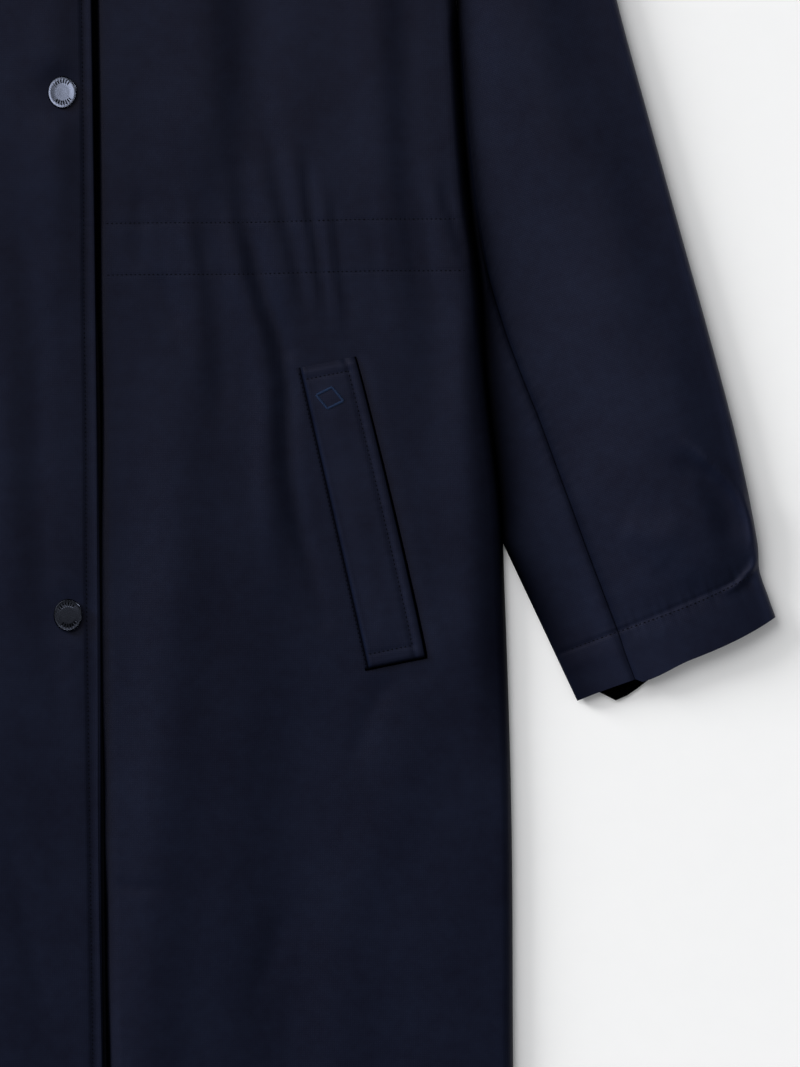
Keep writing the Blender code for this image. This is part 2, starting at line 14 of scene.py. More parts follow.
import bpy
import numpy as np
from mathutils import Matrix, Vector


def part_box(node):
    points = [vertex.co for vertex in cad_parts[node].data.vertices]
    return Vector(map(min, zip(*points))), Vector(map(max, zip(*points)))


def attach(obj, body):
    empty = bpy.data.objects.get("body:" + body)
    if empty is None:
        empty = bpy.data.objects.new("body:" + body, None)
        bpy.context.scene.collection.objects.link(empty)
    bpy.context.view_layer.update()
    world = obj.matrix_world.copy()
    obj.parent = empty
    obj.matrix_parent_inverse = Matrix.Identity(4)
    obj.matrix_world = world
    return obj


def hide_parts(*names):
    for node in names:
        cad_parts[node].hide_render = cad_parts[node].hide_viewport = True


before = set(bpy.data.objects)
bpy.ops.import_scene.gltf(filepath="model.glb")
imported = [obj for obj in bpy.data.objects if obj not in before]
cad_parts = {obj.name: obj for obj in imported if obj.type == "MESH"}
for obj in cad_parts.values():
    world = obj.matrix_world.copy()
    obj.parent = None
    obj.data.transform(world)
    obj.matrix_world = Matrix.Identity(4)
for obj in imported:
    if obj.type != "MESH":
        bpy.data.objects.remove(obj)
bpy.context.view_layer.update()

# %% [markdown]
# ## Units and small helpers
#
# A tailor measures in millimetres, so the tables are in millimetres. `Y_OF_HEM` puts the
# hem's height 0 at its place in the frame. Colours are written as on a paint chart, in sRGB
# hex, and one function turns them to the linear values that shaders use.

# %% Units, colours and objects
MM = 0.001
Y_OF_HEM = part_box("front_left")[0][1]


def colour(hex_value):
    """An sRGB hex colour as linear RGBA."""
    channels = [int(hex_value[i:i + 2], 16) / 255 for i in (1, 3, 5)]
    return (*[c / 12.92 if c < 0.04045 else ((c + 0.055) / 1.055) ** 2.4 for c in channels], 1)


def new_object(name, data):
    """A new object in the scene, from a mesh, a lamp or a camera."""
    thing = bpy.data.objects.new(name, data)
    bpy.context.scene.collection.objects.link(thing)
    return thing


print("the hem lies at y =", round(Y_OF_HEM, 4), "m, and mid grey is", colour("#808080")[0])

# %% [markdown]
# ## Camera, light and floor
#
# The coat lies on a pale floor and is seen from straight above, turned by less than a degree.
# A long lens keeps its far edges from leaning. Two wide suns light it from the upper left: a
# low one, which draws out every fold, and a higher one, which keeps the hollows open. The low
# one isn't mirrored, or matt cloth would glare when it is seen from the side. A soft panel that
# only shows in reflections puts a sheen on the metal and the upper part.

# %% Camera
VIEW_HEIGHT = 640.2 * MM       # of floor, from the bottom of the view to its top
VIEW_CENTRE = (199.0, 468.0)   # across and up from the hem, in millimetres
VIEW_TURN = math.radians(-0.9)
LENS, SENSOR = 200.0, 36.0
CLOTH_TOP = 8 * MM

camera_data = bpy.data.cameras.new("camera")
camera_data.lens, camera_data.sensor_width = LENS, SENSOR
camera = new_object("camera", camera_data)
camera.location = (VIEW_CENTRE[0] * MM, Y_OF_HEM + VIEW_CENTRE[1] * MM,
                   CLOTH_TOP + VIEW_HEIGHT * LENS / SENSOR)
camera.rotation_euler = (0, 0, VIEW_TURN)
bpy.context.scene.camera = camera
bpy.context.scene.view_settings.view_transform = "Standard"
print("height of the camera:", round(camera.location.z, 2), "m")

# %% Light and floor
Sun = namedtuple("Sun", "name turn height strength softness glossy")
SUNS = (Sun("low_sun", 60, 14.5, 3.45, 20, False), Sun("high_sun", 50, 40, 1.6, 50, True))
AIR_LIGHT = 0.40


def add_sun(sun):
    """A sun `turn` degrees round from the hood's end, and `height` degrees above the floor."""
    data = bpy.data.lights.new(sun.name, "SUN")
    data.energy, data.angle = sun.strength, math.radians(sun.softness)
    lamp = new_object(sun.name, data)
    lamp.rotation_euler = (math.radians(90 - sun.height), 0, math.radians(180 + sun.turn))
    lamp.visible_glossy = sun.glossy


def add_reflection(name, kind, place, energy, size):
    """A lamp that shows only in reflections; place is across, up from the hem, and height."""
    data = bpy.data.lights.new(name, kind)
    data.energy = energy
    if kind == "AREA":
        data.size = size
    else:
        data.shadow_soft_size = size
    lamp = new_object(name, data)
    lamp.location = (place[0], Y_OF_HEM + place[1], place[2])
    lamp.visible_diffuse = lamp.visible_camera = False


for sun in SUNS:
    add_sun(sun)
add_reflection("sheen_panel", "AREA", (0.20, 0.96, 1.20), 1.6, 0.50)
add_reflection("rim_glow", "POINT", (1.10, 1.30, 0.50), 2.6, 0.10)

world = bpy.data.worlds.new("studio")
bpy.context.scene.world = world
world.use_nodes = True
air = world.node_tree.nodes["Background"]
air.inputs["Color"].default_value = colour("#fcfdff")
air.inputs["Strength"].default_value = AIR_LIGHT
world.cycles_visibility.glossy = False    # a camera above a table is mirrored as a dark ceiling

bpy.ops.object.select_all(action="DESELECT")
bpy.ops.mesh.primitive_plane_add(size=8, location=(0, 0, 0))
floor = bpy.context.object
floor.name = "floor"

# %% [markdown]
# ## Materials
#
# The shell is a tightly woven polyester with a dry, matt face. Seen close, its threads cross
# at about half a millimetre, and dye takes a little unevenly. A real thread is too fine to
# show from this far, so the weave is drawn about twice as coarse as it is. One function adds
# a node with its settings and its links.

# %% Node helper
def add(tree, kind, links=None, **settings):
    """Add a node: `links` gives sockets a value or another node's output."""
    node = tree.nodes.new(kind)
    for name, value in settings.items():
        setattr(node, name, value)
    for socket, value in (links or {}).items():
        if isinstance(value, bpy.types.NodeSocket):
            tree.links.new(value, node.inputs[socket])
        else:
            node.inputs[socket].default_value = value
    return node


def new_material(name, **shader_values):
    """A material with one Principled shader, whose uniform values are set on its sockets."""
    material = bpy.data.materials.new(name)
    material.use_nodes = True
    shader = material.node_tree.nodes["Principled BSDF"]
    for socket, value in shader_values.items():
        shader.inputs[socket.replace("_", " ")].default_value = value
    return material, material.node_tree, shader


def feed(tree, shader, **outputs):
    """Join node outputs to the shader's sockets."""
    for socket, output in outputs.items():
        tree.links.new(output, shader.inputs[socket.replace("_", " ")])


def with_painted_shade(tree, lit):
    """A colour with painted shade and light, as the piece's `hollow` says,
    and the share of light that is left.
    """
    hollow = add(tree, "ShaderNodeAttribute", attribute_name="hollow").outputs["Fac"]
    light = add(tree, "ShaderNodeMath", {0: 1.0, 1: hollow}, operation="SUBTRACT").outputs[0]
    return add(tree, "ShaderNodeMix", {0: 1.0, 6: lit, 7: light}, data_type="RGBA",
               blend_type="MULTIPLY").outputs[2], light


print("helpers:", ", ".join(helper.__name__ for helper in (add, new_material, feed, with_painted_shade)))

# %% Woven shell cloth
THREAD = 1.1 * MM       # drawn; the real spacing is about 0.5 mm
SLUB = 9 * MM           # length of the slightly thicker stretches of a thread
DYE_PATCH = 55 * MM     # width of the faint patches where the dye took unevenly
WEAVE_SHARE = 0.38      # of the step from the dark colour to the light one


def woven_cloth(name, dark, light, sheen):
    """Matt plain-weave polyester: two crossing sets of threads, on the sheet's own UV."""
    material, tree, shader = new_material(
        name, Roughness=0.5, Specular_IOR_Level=sheen, Specular_Tint=colour("#e8dbe2"))
    place = add(tree, "ShaderNodeUVMap", uv_map="cut").outputs[0]
    threads = [add(tree, "ShaderNodeTexWave",
                   {"Vector": place, "Scale": 1 / THREAD / 20 * math.tau, "Distortion": 0.9,
                    "Detail": 2.0, "Detail Scale": 1.6, "Phase Offset": turn},
                   bands_direction=direction, wave_profile="SIN").outputs["Fac"]
               for direction, turn in (("X", 0.0), ("Y", 0.6))]
    weave = add(tree, "ShaderNodeMath", {0: threads[0], 1: threads[1]},
                operation="MULTIPLY").outputs[0]
    slub = add(tree, "ShaderNodeTexNoise",
               {"Vector": place, "Scale": 1 / SLUB, "Detail": 4.0, "Roughness": 0.7}).outputs["Fac"]
    dye = add(tree, "ShaderNodeTexNoise",
              {"Vector": place, "Scale": 1 / DYE_PATCH, "Detail": 3.0}).outputs["Fac"]
    uneven = add(tree, "ShaderNodeMath", {0: slub, 1: dye}, operation="ADD").outputs[0]
    mottle = add(tree, "ShaderNodeMapRange",
                 {0: uneven, 1: 0.7, 2: 1.3, 3: 0.0, 4: 0.62}).outputs[0]
    thread_share = add(tree, "ShaderNodeMath", {0: weave, 1: WEAVE_SHARE},
                       operation="MULTIPLY").outputs[0]
    factor = add(tree, "ShaderNodeMath", {0: mottle, 1: thread_share}, operation="ADD").outputs[0]
    dyed = add(tree, "ShaderNodeMix", {0: factor, 6: colour(dark), 7: colour(light)},
               data_type="RGBA").outputs[2]
    # painted shade and light from the sheet's `hollow` darken or lighten the cloth's colour and its
    # gloss
    shaded, light_left = with_painted_shade(tree, dyed)
    gloss = add(tree, "ShaderNodeMath", {0: light_left, 1: sheen}, operation="MULTIPLY").outputs[0]
    relief = add(tree, "ShaderNodeMath", {0: slub, 1: weave}, operation="ADD").outputs[0]
    bumped = add(tree, "ShaderNodeBump",
                 {"Strength": 0.28, "Distance": 0.12 * MM, "Height": relief})
    feed(tree, shader, Base_Color=shaded, Specular_IOR_Level=gloss, Normal=bumped.outputs[0])
    return material


shell_cloth = woven_cloth("woven_polyester_navy", "#0a0e1e", "#11182a", 0.14)
# the lining is near black; where the facing peeps out beside the flap, that colour is painted shade
# for the gap under its edge
lining_and_painted_shade_cloth = woven_cloth("woven_lining_dark", "#04050a", "#080a12", 0.05)
print("cloth materials:", shell_cloth.name, lining_and_painted_shade_cloth.name)

# %% [markdown]
# The thread is spun polyester for the seams, and glossier satin thread for the motif: a fine
# twist runs across both. The snap caps are brass, stamped and then plated dark, which leaves
# a smooth metal with faint brushed lines. The floor is matt card.

# %% Sewing threads
TWIST = 10 / 9 * MM     # one turn of the thread's plies, drawn coarse enough to show


def plain_thread(name, dark, light, gloss):
    """Sewing thread: a soft round cord with a twist across it."""
    material, tree, shader = new_material(name, Roughness=0.6, Specular_IOR_Level=gloss)
    place = add(tree, "ShaderNodeTexCoord").outputs["Object"]
    twist = add(tree, "ShaderNodeTexNoise", {"Vector": place, "Scale": 1 / TWIST, "Detail": 1.0})
    dyed = add(tree, "ShaderNodeMix", {0: twist.outputs["Fac"], 6: colour(dark), 7: colour(light)},
               data_type="RGBA")
    feed(tree, shader, Base_Color=dyed.outputs[2])
    return material


# darker than the shell: partly the thread's own navy, and partly painted shade standing for the
# needle holes between stitches
seam_thread = plain_thread("spun_thread_navy", "#05070e", "#0b0e1a", 0.06)
motif_thread = plain_thread("satin_thread_steel_blue", "#111e37", "#1b2e4d", 0.2)
print("thread materials:", seam_thread.name, motif_thread.name)

# %% Plated metal and the floor's card
BRUSH_LINE = 2.5 * MM          # length of a brushed line, which is a thirteenth as wide
CARD_MOTTLE = 50 / 3 * MM      # width of the card's faint patches


def gunmetal():
    """Brass stamped into a cap and plated dark: fine brushed lines, and painted shade on the rim
    and in the ticks.
    """
    material, tree, shader = new_material("gunmetal_plate", Metallic=1.0, Roughness=0.26)
    place = add(tree, "ShaderNodeTexCoord").outputs["Object"]
    lines = 1 / BRUSH_LINE
    along = add(tree, "ShaderNodeMapping", {"Vector": place, "Scale": (lines, 13 * lines, lines)})
    brushed = add(tree, "ShaderNodeTexNoise",
                  {"Vector": along.outputs[0], "Scale": 1.0, "Detail": 3.0}).outputs["Fac"]
    bright = add(tree, "ShaderNodeMix", {0: brushed, 6: colour("#848ca3"), 7: colour("#8f96ab")},
                 data_type="RGBA")
    rough = add(tree, "ShaderNodeMapRange", {0: brushed, 3: 0.22, 4: 0.27})
    bumped = add(tree, "ShaderNodeBump",
                 {"Strength": 0.04, "Distance": 0.03 * MM, "Height": brushed})
    # painted shade from the cap's `hollow`, in its ticks and on its sunward rim, darkens the
    # metal's colour
    feed(tree, shader, Base_Color=with_painted_shade(tree, bright.outputs[2])[0],
         Roughness=rough.outputs[0], Normal=bumped.outputs[0])
    return material


def paper_floor():
    """Matt white card, so faintly mottled that it reads as plain."""
    material, tree, shader = new_material("matt_card", Roughness=0.95, Specular_IOR_Level=0.0)
    place = add(tree, "ShaderNodeTexCoord").outputs["Object"]
    grain = add(tree, "ShaderNodeTexNoise",
                {"Vector": place, "Scale": 1 / CARD_MOTTLE, "Detail": 2.0})
    pale = add(tree, "ShaderNodeMix",
               {0: grain.outputs["Fac"], 6: colour("#f3f3f3"), 7: colour("#f5f5f5")},
               data_type="RGBA")
    feed(tree, shader, Base_Color=pale.outputs[2])
    return material


snap_metal = gunmetal()
floor.data.materials.append(paper_floor())
print("metal and floor:", snap_metal.name, floor.data.materials[0].name)

# %% [markdown]
# ## Curves and soft steps
#
# Cloth has no hard corners, so every change along it is eased. These few functions are all
# that the folds, seams and shades below are made from.

# %% Curves and soft steps
def curve(rows, key, value, at):
    """Read the named column `value` of a table at a place along column `key`."""
    keys = np.array([getattr(row, key) for row in rows], float)
    values = np.array([getattr(row, value) for row in rows], float)
    slopes = np.gradient(values, keys)
    at = np.clip(np.asarray(at, float), keys[0], keys[-1])
    i = np.clip(np.searchsorted(keys, at, side="right") - 1, 0, len(keys) - 2)
    span = keys[i + 1] - keys[i]
    t = (at - keys[i]) / span
    return ((2 * t**3 - 3 * t**2 + 1) * values[i] + (t**3 - 2 * t**2 + t) * span * slopes[i]
            + (-2 * t**3 + 3 * t**2) * values[i + 1] + (t**3 - t**2) * span * slopes[i + 1])


def ease(t):
    """A soft step from 0 to 1."""
    t = np.clip(t, 0, 1)
    return t * t * (3 - 2 * t)


def ramp(value, start, reach):
    """A soft step from 0 to 1 that begins at `start` and is done after `reach`."""
    return ease((value - start) / reach)


def fade(value, start, reach):
    """A soft step from 1 to 0."""
    return 1 - ramp(value, start, reach)


def at_least(low, share):
    """A share from 0 to 1, raised so that it runs from `low` to 1."""
    return low + (1 - low) * share


def bump(distance, spread):
    """A soft round rise: 1 at distance 0, and nearly gone two spreads away."""
    return np.exp(-(distance / spread) ** 2)


def steps(start, end, step, fine=(), fine_reach=4.5, fine_step=0.9):
    """Places from start to end, closer together round the places in `fine`."""
    places = np.linspace(start, end, max(2, int(round(abs(end - start) / step)) + 1))
    for centre in fine:
        near = np.arange(centre - fine_reach, centre + fine_reach + 0.01, fine_step)
        places = np.concatenate([places[np.abs(places - centre) > fine_reach + 0.6], near])
    return np.sort(places)


def roll_steps(reach, count=9):
    """Places across a rolled edge, from the edge (0) inwards, close together at the edge."""
    return reach * (1 - np.cos(np.linspace(0, math.pi / 2, count)))


print("half way up a soft step:", ramp(5.0, 0.0, 10.0), " and down:", fade(5.0, 0.0, 10.0))

# %% [markdown]
# ## The cut of the coat
#
# These are the pattern's sizes: where the side seams, armholes and necklines run, and where
# the coat's layers lie. They are the sizes that the solids were made from, so a sheet lands
# on its solid. A curve runs through each table's rows.

# %% Sizes
WALL, FACING = 2.8, 1.0        # thickness of the padded cloth, and of the single facing
SEAM, REST_GAP = 0.3, 1.0      # air between joined layers, and below the fronts
EDGE_ROLL, EDGE_WALL = 7.0, 0.5    # how far in the outline is rolled, and its thickness there
UNDERARM, SHOULDER_TIP, NECK_POINT = 795.0, 1011.0, 1047.0
FRONT_NECK, BACK_NECK, HOOD_TOP = 965.0, 1025.0, 1342.0
NECK_HALF, TIP_HALF, UNDERLAP = 75.0, 216.0, 20.0
NECK_SEAM = 0.6
YOKE_RISE = SHOULDER_TIP - UNDERARM
LAP_START, LAP_REACH = 28.0, 68.0    # how the right front comes down: softer than the solid's
LEFT_TOP = 2 * WALL + REST_GAP
FACING_UNDERSIDE = LEFT_TOP + SEAM
FLAP_LIFT = SEAM + FACING + SEAM + WALL

print(f"the coat is {HOOD_TOP:.0f} mm long with its hood, and its back {BACK_NECK:.0f} mm")

# %% Outlines
Level = namedtuple("Level", "up half_width")
SIDE_SEAM = [
    Level(0, 261), Level(150, 262), Level(300, 263.3), Level(430, 261.4),
    Level(487, 259.8), Level(523, 256.2), Level(565, 252.2), Level(615, 250.3),
    Level(655, 245.5), Level(700, 241.8), Level(742, 239.7), Level(UNDERARM, 237.5),
]
ARMHOLE = [
    Level(UNDERARM, 237.5), Level(820, 220), Level(855, 202), Level(905, 194),
    Level(958, 199), Level(SHOULDER_TIP, TIP_HALF),
]
FLAP_EDGE = [
    Level(0, 16.2), Level(250, 16.6), Level(400, 18.5), Level(560, 18.9),
    Level(700, 19.2), Level(FRONT_NECK, 19.0),
]
FLAP_STITCH = [    # the edge's topstitching, from the centre front
    Level(0, 9.6), Level(203, 9.8), Level(323, 10.1), Level(455, 10.5), Level(539, 11.4),
    Level(611, 11.6), Level(671, 12.4), Level(FRONT_NECK, 12.6),
]
FLAP_FOLD = [      # how far inside the flap's edge a line of painted shade marks the end of its outer cloth
    Level(0, 1.0), Level(203, 0.9), Level(251, 1.35), Level(323, 1.7), Level(371, 1.7),
    Level(455, 1.3), Level(539, 0.5), Level(611, 0.3), Level(FRONT_NECK, 0.3),
]
FLAP_GLOOM = [     # how far past the flap's edge the cloth is painted dark, a painted shade
    Level(0, 4.4), Level(167, 4.3), Level(203, 3.7), Level(251, 3.6), Level(287, 2.4),
    Level(323, 2.4), Level(371, 1.1), Level(455, 1.2), Level(539, 3.5), Level(611, 3.4),
    Level(671, 3.9), Level(FRONT_NECK, 3.9),
]
print("levels of the side seam and the armhole:", len(SIDE_SEAM), len(ARMHOLE))

# %% Reading the outlines
def half_width(table, up):
    """Read a table of levels."""
    return curve(table, "up", "half_width", up)


def side_seam(up):
    return half_width(SIDE_SEAM, up)


def flap_edge(up):
    return half_width(FLAP_EDGE, up)


def armhole(up):
    """The armhole seam, straight between the corners that the solids have."""
    shares = np.concatenate([np.linspace(0, 1 - EDGE_ROLL / YOKE_RISE, 6), [1]])
    corners = UNDERARM + shares * YOKE_RISE
    return np.interp(up, corners, half_width(ARMHOLE, corners))


def neckline(x, depth):
    """Height of a neckline that dips by `depth` at the centre."""
    return NECK_POINT - depth * np.cos(np.clip(np.abs(x) / NECK_HALF, 0, 1) * math.pi / 2)


def panel_top(x, depth):
    """Height of the neckline near the centre, and of the shoulder seam outside it."""
    slope = (SHOULDER_TIP - NECK_POINT) / (TIP_HALF - NECK_HALF)
    shoulder = NECK_POINT + (np.abs(x) - NECK_HALF) * slope
    return np.where(np.abs(x) < NECK_HALF, neckline(x, depth), shoulder)


print("width at the hem, underarm and shoulders:",
      *(round(2 * float(width)) for width in (side_seam(0), side_seam(UNDERARM), TIP_HALF)), "mm")


# %% [markdown]
# ## Folds
#
# Cloth laid down by hand keeps soft, uneven folds. Each row below is one fold: how wide it
# spreads, how high it stands (a minus sign is a trough), and its path over the coat, as
# places across and up. The waist casing has a drawcord's gathers: small wrinkles, strongest
# between its two rows of stitches.

# %% Folds of the left front
Crease = namedtuple("Crease", "spread height path")
CREASE_TAPER, CREASE_END = 0.22, 0.25    # a fold fades over this share of its path, and to this
CREASES_LEFT = [
    Crease(28, 2.5, ((80, 980), (80, 780), (78, 700), (72, 655))),     # down from the chest
    Crease(14, 0.9, ((88, 960), (87, 790), (88, 700), (80, 655))),
    Crease(17, -2.4, ((114, 980), (115, 750), (113, 705), (109, 672))),
    Crease(5.6, -2.2, ((106, 690), (109, 655), (113, 640), (116, 624), (120, 609), (126, 594),
                       (130, 579), (133, 561), (132, 537), (133, 508), (138, 478), (146, 447),
                       (153, 417))),                                    # the main groove
    Crease(8, 1.8, ((100, 676), (103, 640), (106, 622), (112, 603), (116, 587), (120, 555),
                    (120, 500), (124, 440))),
    Crease(5.5, 0.8, ((112, 695), (118, 681), (121, 669), (125, 654), (129, 639), (132, 624),
                      (135, 605))),
    Crease(4.4, -0.9, ((119, 730), (124, 711), (127, 699), (129, 684), (132, 669), (135, 654),
                       (138, 639), (142, 624), (145, 609), (147, 596))),
    Crease(4, 0.7, ((137, 710), (138, 693), (140, 669), (143, 654), (147, 639), (148, 624),
                    (151, 609), (153, 594))),
    Crease(2.8, -1.0, ((147, 700), (147, 687), (148, 669), (150, 654), (152, 639), (153.5, 624),
                       (156, 609), (157, 596))),                        # the sharp crease
    Crease(2.8, 0.9, ((155, 680), (156.5, 669), (157.5, 654), (158.5, 639), (160, 624),
                      (163, 609), (163.5, 590))),
    Crease(4.6, -0.6, ((162, 676), (163.5, 660), (166, 639), (167, 624), (171, 606), (171, 594))),
    Crease(7, -0.9, ((84, 668), (86, 639), (91, 623), (92, 603), (95, 571), (93, 530))),
    Crease(7, 0.8, ((72, 672), (75, 639), (78, 610), (79, 587), (79, 550))),
    Crease(22, 1.5, ((184, 980), (188, 790), (191, 700), (195, 650), (200, 600))),
    Crease(11, 0.8, ((187, 960), (189, 790), (191, 689), (194, 658), (196, 618), (200, 570),
                     (203, 530))),
    Crease(10, -0.9, ((206, 900), (207, 790), (207, 708), (209, 674), (213, 645), (216, 630),
                     (219, 608), (222, 580), (224, 530))),
    Crease(8, 1.0, ((222, 700), (226, 668), (232, 640), (238, 600), (242, 540))),
    Crease(4, -1.2, ((227, 682), (231, 665), (237, 646), (241, 628))),
    Crease(4, -0.8, ((55, 628), (62, 610), (68, 592))),
    Crease(4, -0.6, ((45, 676), (47, 650))),
    Crease(4.5, -0.6, ((41, 652), (47, 628))),
    Crease(9, 0.4, ((36, 800), (34, 700), (36, 640), (52, 560))),
    Crease(22, 3.3, ((68, 620), (66, 508), (65, 448), (61, 418), (56, 346), (53, 310), (51, 274),
                     (47, 238), (44, 203), (43, 167), (42, 0))),        # the long low fold
    Crease(27, 1.9, ((102, 520), (98, 400), (94, 300), (88, 200), (86, 0))),
    Crease(24, -1.2, ((132, 420), (130, 300), (124, 200), (118, 0))),
    Crease(15, 1.7, ((236, 580), (239, 500), (241, 440), (239, 370))),
    Crease(19, 0.9, ((218, 400), (204, 360), (189, 293), (167, 252), (158, 214), (152, 60))),
    Crease(6, -0.6, ((192, 383), (178, 358), (170, 330))),
    Crease(7, -0.6, ((127, 246), (120, 222), (108, 190))),
    Crease(3, -0.4, ((22, 262), (36, 258), (60, 257))),
    Crease(26, 0.6, ((238, 371), (236, 257), (238, 40))),
    Crease(22, 0.9, ((140, 1000), (150, 860))),
]
print("folds on the left front:", len(CREASES_LEFT))

# %% Folds of the right front
CREASES_RIGHT = [
    Crease(28, 2.6, ((-2, 980), (-2, 740), (4, 635))),
    Crease(8, -0.9, ((33, 690), (24, 639), (17, 582), (18, 485), (12, 410), (2, 340))),
    Crease(10, 0.9, ((50, 700), (42, 630), (36, 560), (36, 480), (30, 400))),
    Crease(7, -0.6, ((40, 300), (28, 231), (16, 180))),
    Crease(12, 0.9, ((4, 790), (2, 669), (0, 590))),
    Crease(15, -1.0, ((96, 940), (100, 740), (107, 665))),
    Crease(7.5, -1.4, ((108, 680), (112, 650), (124, 610), (137, 572), (139, 500), (152, 450),
                       (162, 415))),
    Crease(8, 1.1, ((96, 672), (101, 630), (114, 590), (118, 520))),
    Crease(3.4, -1.3, ((140, 715), (151, 660), (157, 628), (160, 594))),
    Crease(3.8, 1.2, ((161, 662), (166, 630), (168, 584))),
    Crease(7, -0.8, ((84, 652), (92, 618), (90, 560))),
    Crease(4.5, -0.7, ((58, 634), (70, 600))),
    Crease(9, -1.2, ((203, 860), (206, 690), (211, 640), (222, 560))),
    Crease(4.5, -1.0, ((228, 680), (238, 630))),
    Crease(10, 1.0, ((186, 800), (190, 650), (202, 545))),
    Crease(25, -1.2, ((118, 500), (116, 380), (110, 240), (112, 0))),
    Crease(23, 1.5, ((74, 600), (66, 500), (60, 400), (54, 0))),
    Crease(17, 1.1, ((222, 380), (196, 290), (172, 210), (160, 60))),
    Crease(8, -0.6, ((138, 290), (122, 240), (110, 180))),
    Crease(22, 0.9, ((132, 1000), (146, 850))),
    Crease(20, 0.7, ((78, 920), (88, 800))),
]
print("folds on the right front:", len(CREASES_RIGHT))

# %% Folds of the sleeves and the hood
CREASES_SLEEVE = [
    Crease(3.2, 2.5, ((372, 519), (388, 506), (397, 497), (402, 490), (405.5, 482), (409.5, 474),
                      (411, 468), (411, 461), (409, 454))),
    Crease(8, -1.7, ((360, 512), (381, 499), (391, 486), (396, 472), (397, 454))),
    Crease(2.3, 1.8, ((418, 457), (413, 449), (409, 442.5), (404, 437.5), (400, 433.5),
                      (394, 430))),
    Crease(9, -0.8, ((352, 448), (367, 433), (384, 431))),
    Crease(10, 0.8, ((330, 470), (352, 462), (372, 470))),
    Crease(20, -0.9, ((300, 890), (322, 770))),
    Crease(18, 1.0, ((262, 905), (286, 780), (300, 650))),
    Crease(14, -0.7, ((340, 700), (352, 620), (356, 560))),
    Crease(10, -0.6, ((236, 860), (250, 800))),
]
CREASES_HOOD = [
    Crease(18, 1.4, ((56, 1050), (80, 1120), (94, 1210))),
    Crease(10, -0.8, ((40, 1000), (58, 1034), (72, 1090))),
    Crease(12, -0.7, ((86, 1262), (60, 1296), (24, 1312))),
    Crease(14, 0.9, ((36, 1130), (44, 1210), (40, 1270))),
]


print("folds on a sleeve and on the hood:", len(CREASES_SLEEVE), len(CREASES_HOOD))

# %% Height of the folds
def crease_height(creases, x, up):
    """How far a table of folds lifts the cloth at each place."""
    total = np.zeros(np.broadcast(x, up).shape)
    for crease in creases:
        path = np.array(crease.path, float)
        runs = np.diff(path, axis=0)
        lengths = np.hypot(*runs.T)
        starts = np.concatenate([[0], np.cumsum(lengths)[:-1]])
        near = np.full(total.shape, np.inf)
        along = np.zeros(total.shape)
        for place, run, length, start in zip(path, runs, lengths, starts):
            t = np.clip(((x - place[0]) * run[0] + (up - place[1]) * run[1]) / length**2, 0, 1)
            away = np.hypot(x - place[0] - t * run[0], up - place[1] - t * run[1])
            along = np.where(away < near, start + t * length, along)
            near = np.minimum(near, away)
        share = along / lengths.sum()
        taper = ease(share / CREASE_TAPER) * ease((1 - share) / CREASE_TAPER)
        total += crease.height * bump(near, crease.spread) * at_least(CREASE_END, taper)
    return total


long_fold = float(crease_height(CREASES_LEFT, np.array([66.0]), np.array([450.0]))[0])
print("the long low fold lifts the cloth by", round(long_fold, 1), "mm")

# %% Gathers, puckers and grooves
CASING = (625.5, 656.5)        # the casing's two rows of stitches, up from the hem
HEM_STITCH = 29.0
GATHERS, GATHER_REACH = (0.11, 0.13), 22.0    # height beyond the casing, and more within it
Row = namedtuple("Row", "depth width pucker reach")    # of its groove, then of its puckers
CASING_ROW, HEM_ROW = Row(0.08, 1.3, 0.12, 6.0), Row(0.2, 1.3, 0.10, 6.0)
FLAP_ROW, CUFF_HEM_ROW = Row(0.18, 0.9, 0.08, 3.0), Row(0.35, 1.4, 0.34, 8.0)
HOOD_ROW, WELT_ROW = Row(0.7, 1.6, 0.2, 6.0), Row(0.5, 1.8, 0.08, 4.0)


def wrinkles(place, seed, widths=(11.0, 16.0, 25.0)):
    """Uneven waves along a line: three wavelengths whose phases drift, so none repeats."""
    total = 0.0
    for number, width in enumerate(widths):
        drifting = 1.7 * np.sin(place / (width * 5.3) + seed * (number + 1.7))
        phase = math.tau * place / width + drifting + seed * (2.1 * number + 1)
        total = total + np.sin(phase) / (number + 1.6)
    return total


def gathers(x, up, seed):
    """Small upright wrinkles at the waist casing."""
    middle, half = sum(CASING) / 2, (CASING[1] - CASING[0]) / 2
    beyond = bump(np.maximum(np.abs(up - middle) - half, 0), GATHER_REACH)
    between = bump(up - middle, half * 1.3)
    strength = GATHERS[0] * beyond + GATHERS[1] * between
    patchy = at_least(0.45, ease(0.5 + 0.8 * np.sin(x / 31.0 + seed)))
    slanted = x + 0.12 * (up - middle)
    return strength * patchy * ramp(x, 30, 30) * wrinkles(slanted, seed)


def pucker(along, away, seed, height, reach):
    """The cloth drawn up beside a row of stitches."""
    return height * bump(away, reach) * wrinkles(along, seed, (5.5, 8.0, 13.0))


def groove(away, depth, width):
    """The line that a row of stitches presses into padded cloth."""
    return -depth * bump(away, width)


def sewn(row, along, away, seed):
    """What a row of stitches does to the cloth: its groove, and the puckers beside it."""
    return (groove(away, row.depth, row.width)
            + pucker(along, away, seed, row.pucker, row.reach))


def drift(x, up, seed):
    """Very slow rises and falls of the whole cloth."""
    return (0.30 * np.sin(x / 37 + up / 161 + seed) * np.sin(up / 83 - x / 90 + 2 * seed)
            + 0.16 * np.sin(x / 19 - up / 47 + 3 * seed) * np.sin(up / 31 + seed))


print("depth of the hem row's groove:", -groove(0, HEM_ROW.depth, HEM_ROW.width), "mm")

# %% [markdown]
# ## How high the cloth stands
#
# `front_height` is the one function that every piece on a front asks. It adds the folds, the
# gathers and the grooves of the stitches to the resting height, and lifts the right front
# over the left one. Both fronts are described on the wearer's left and mirrored for the right.

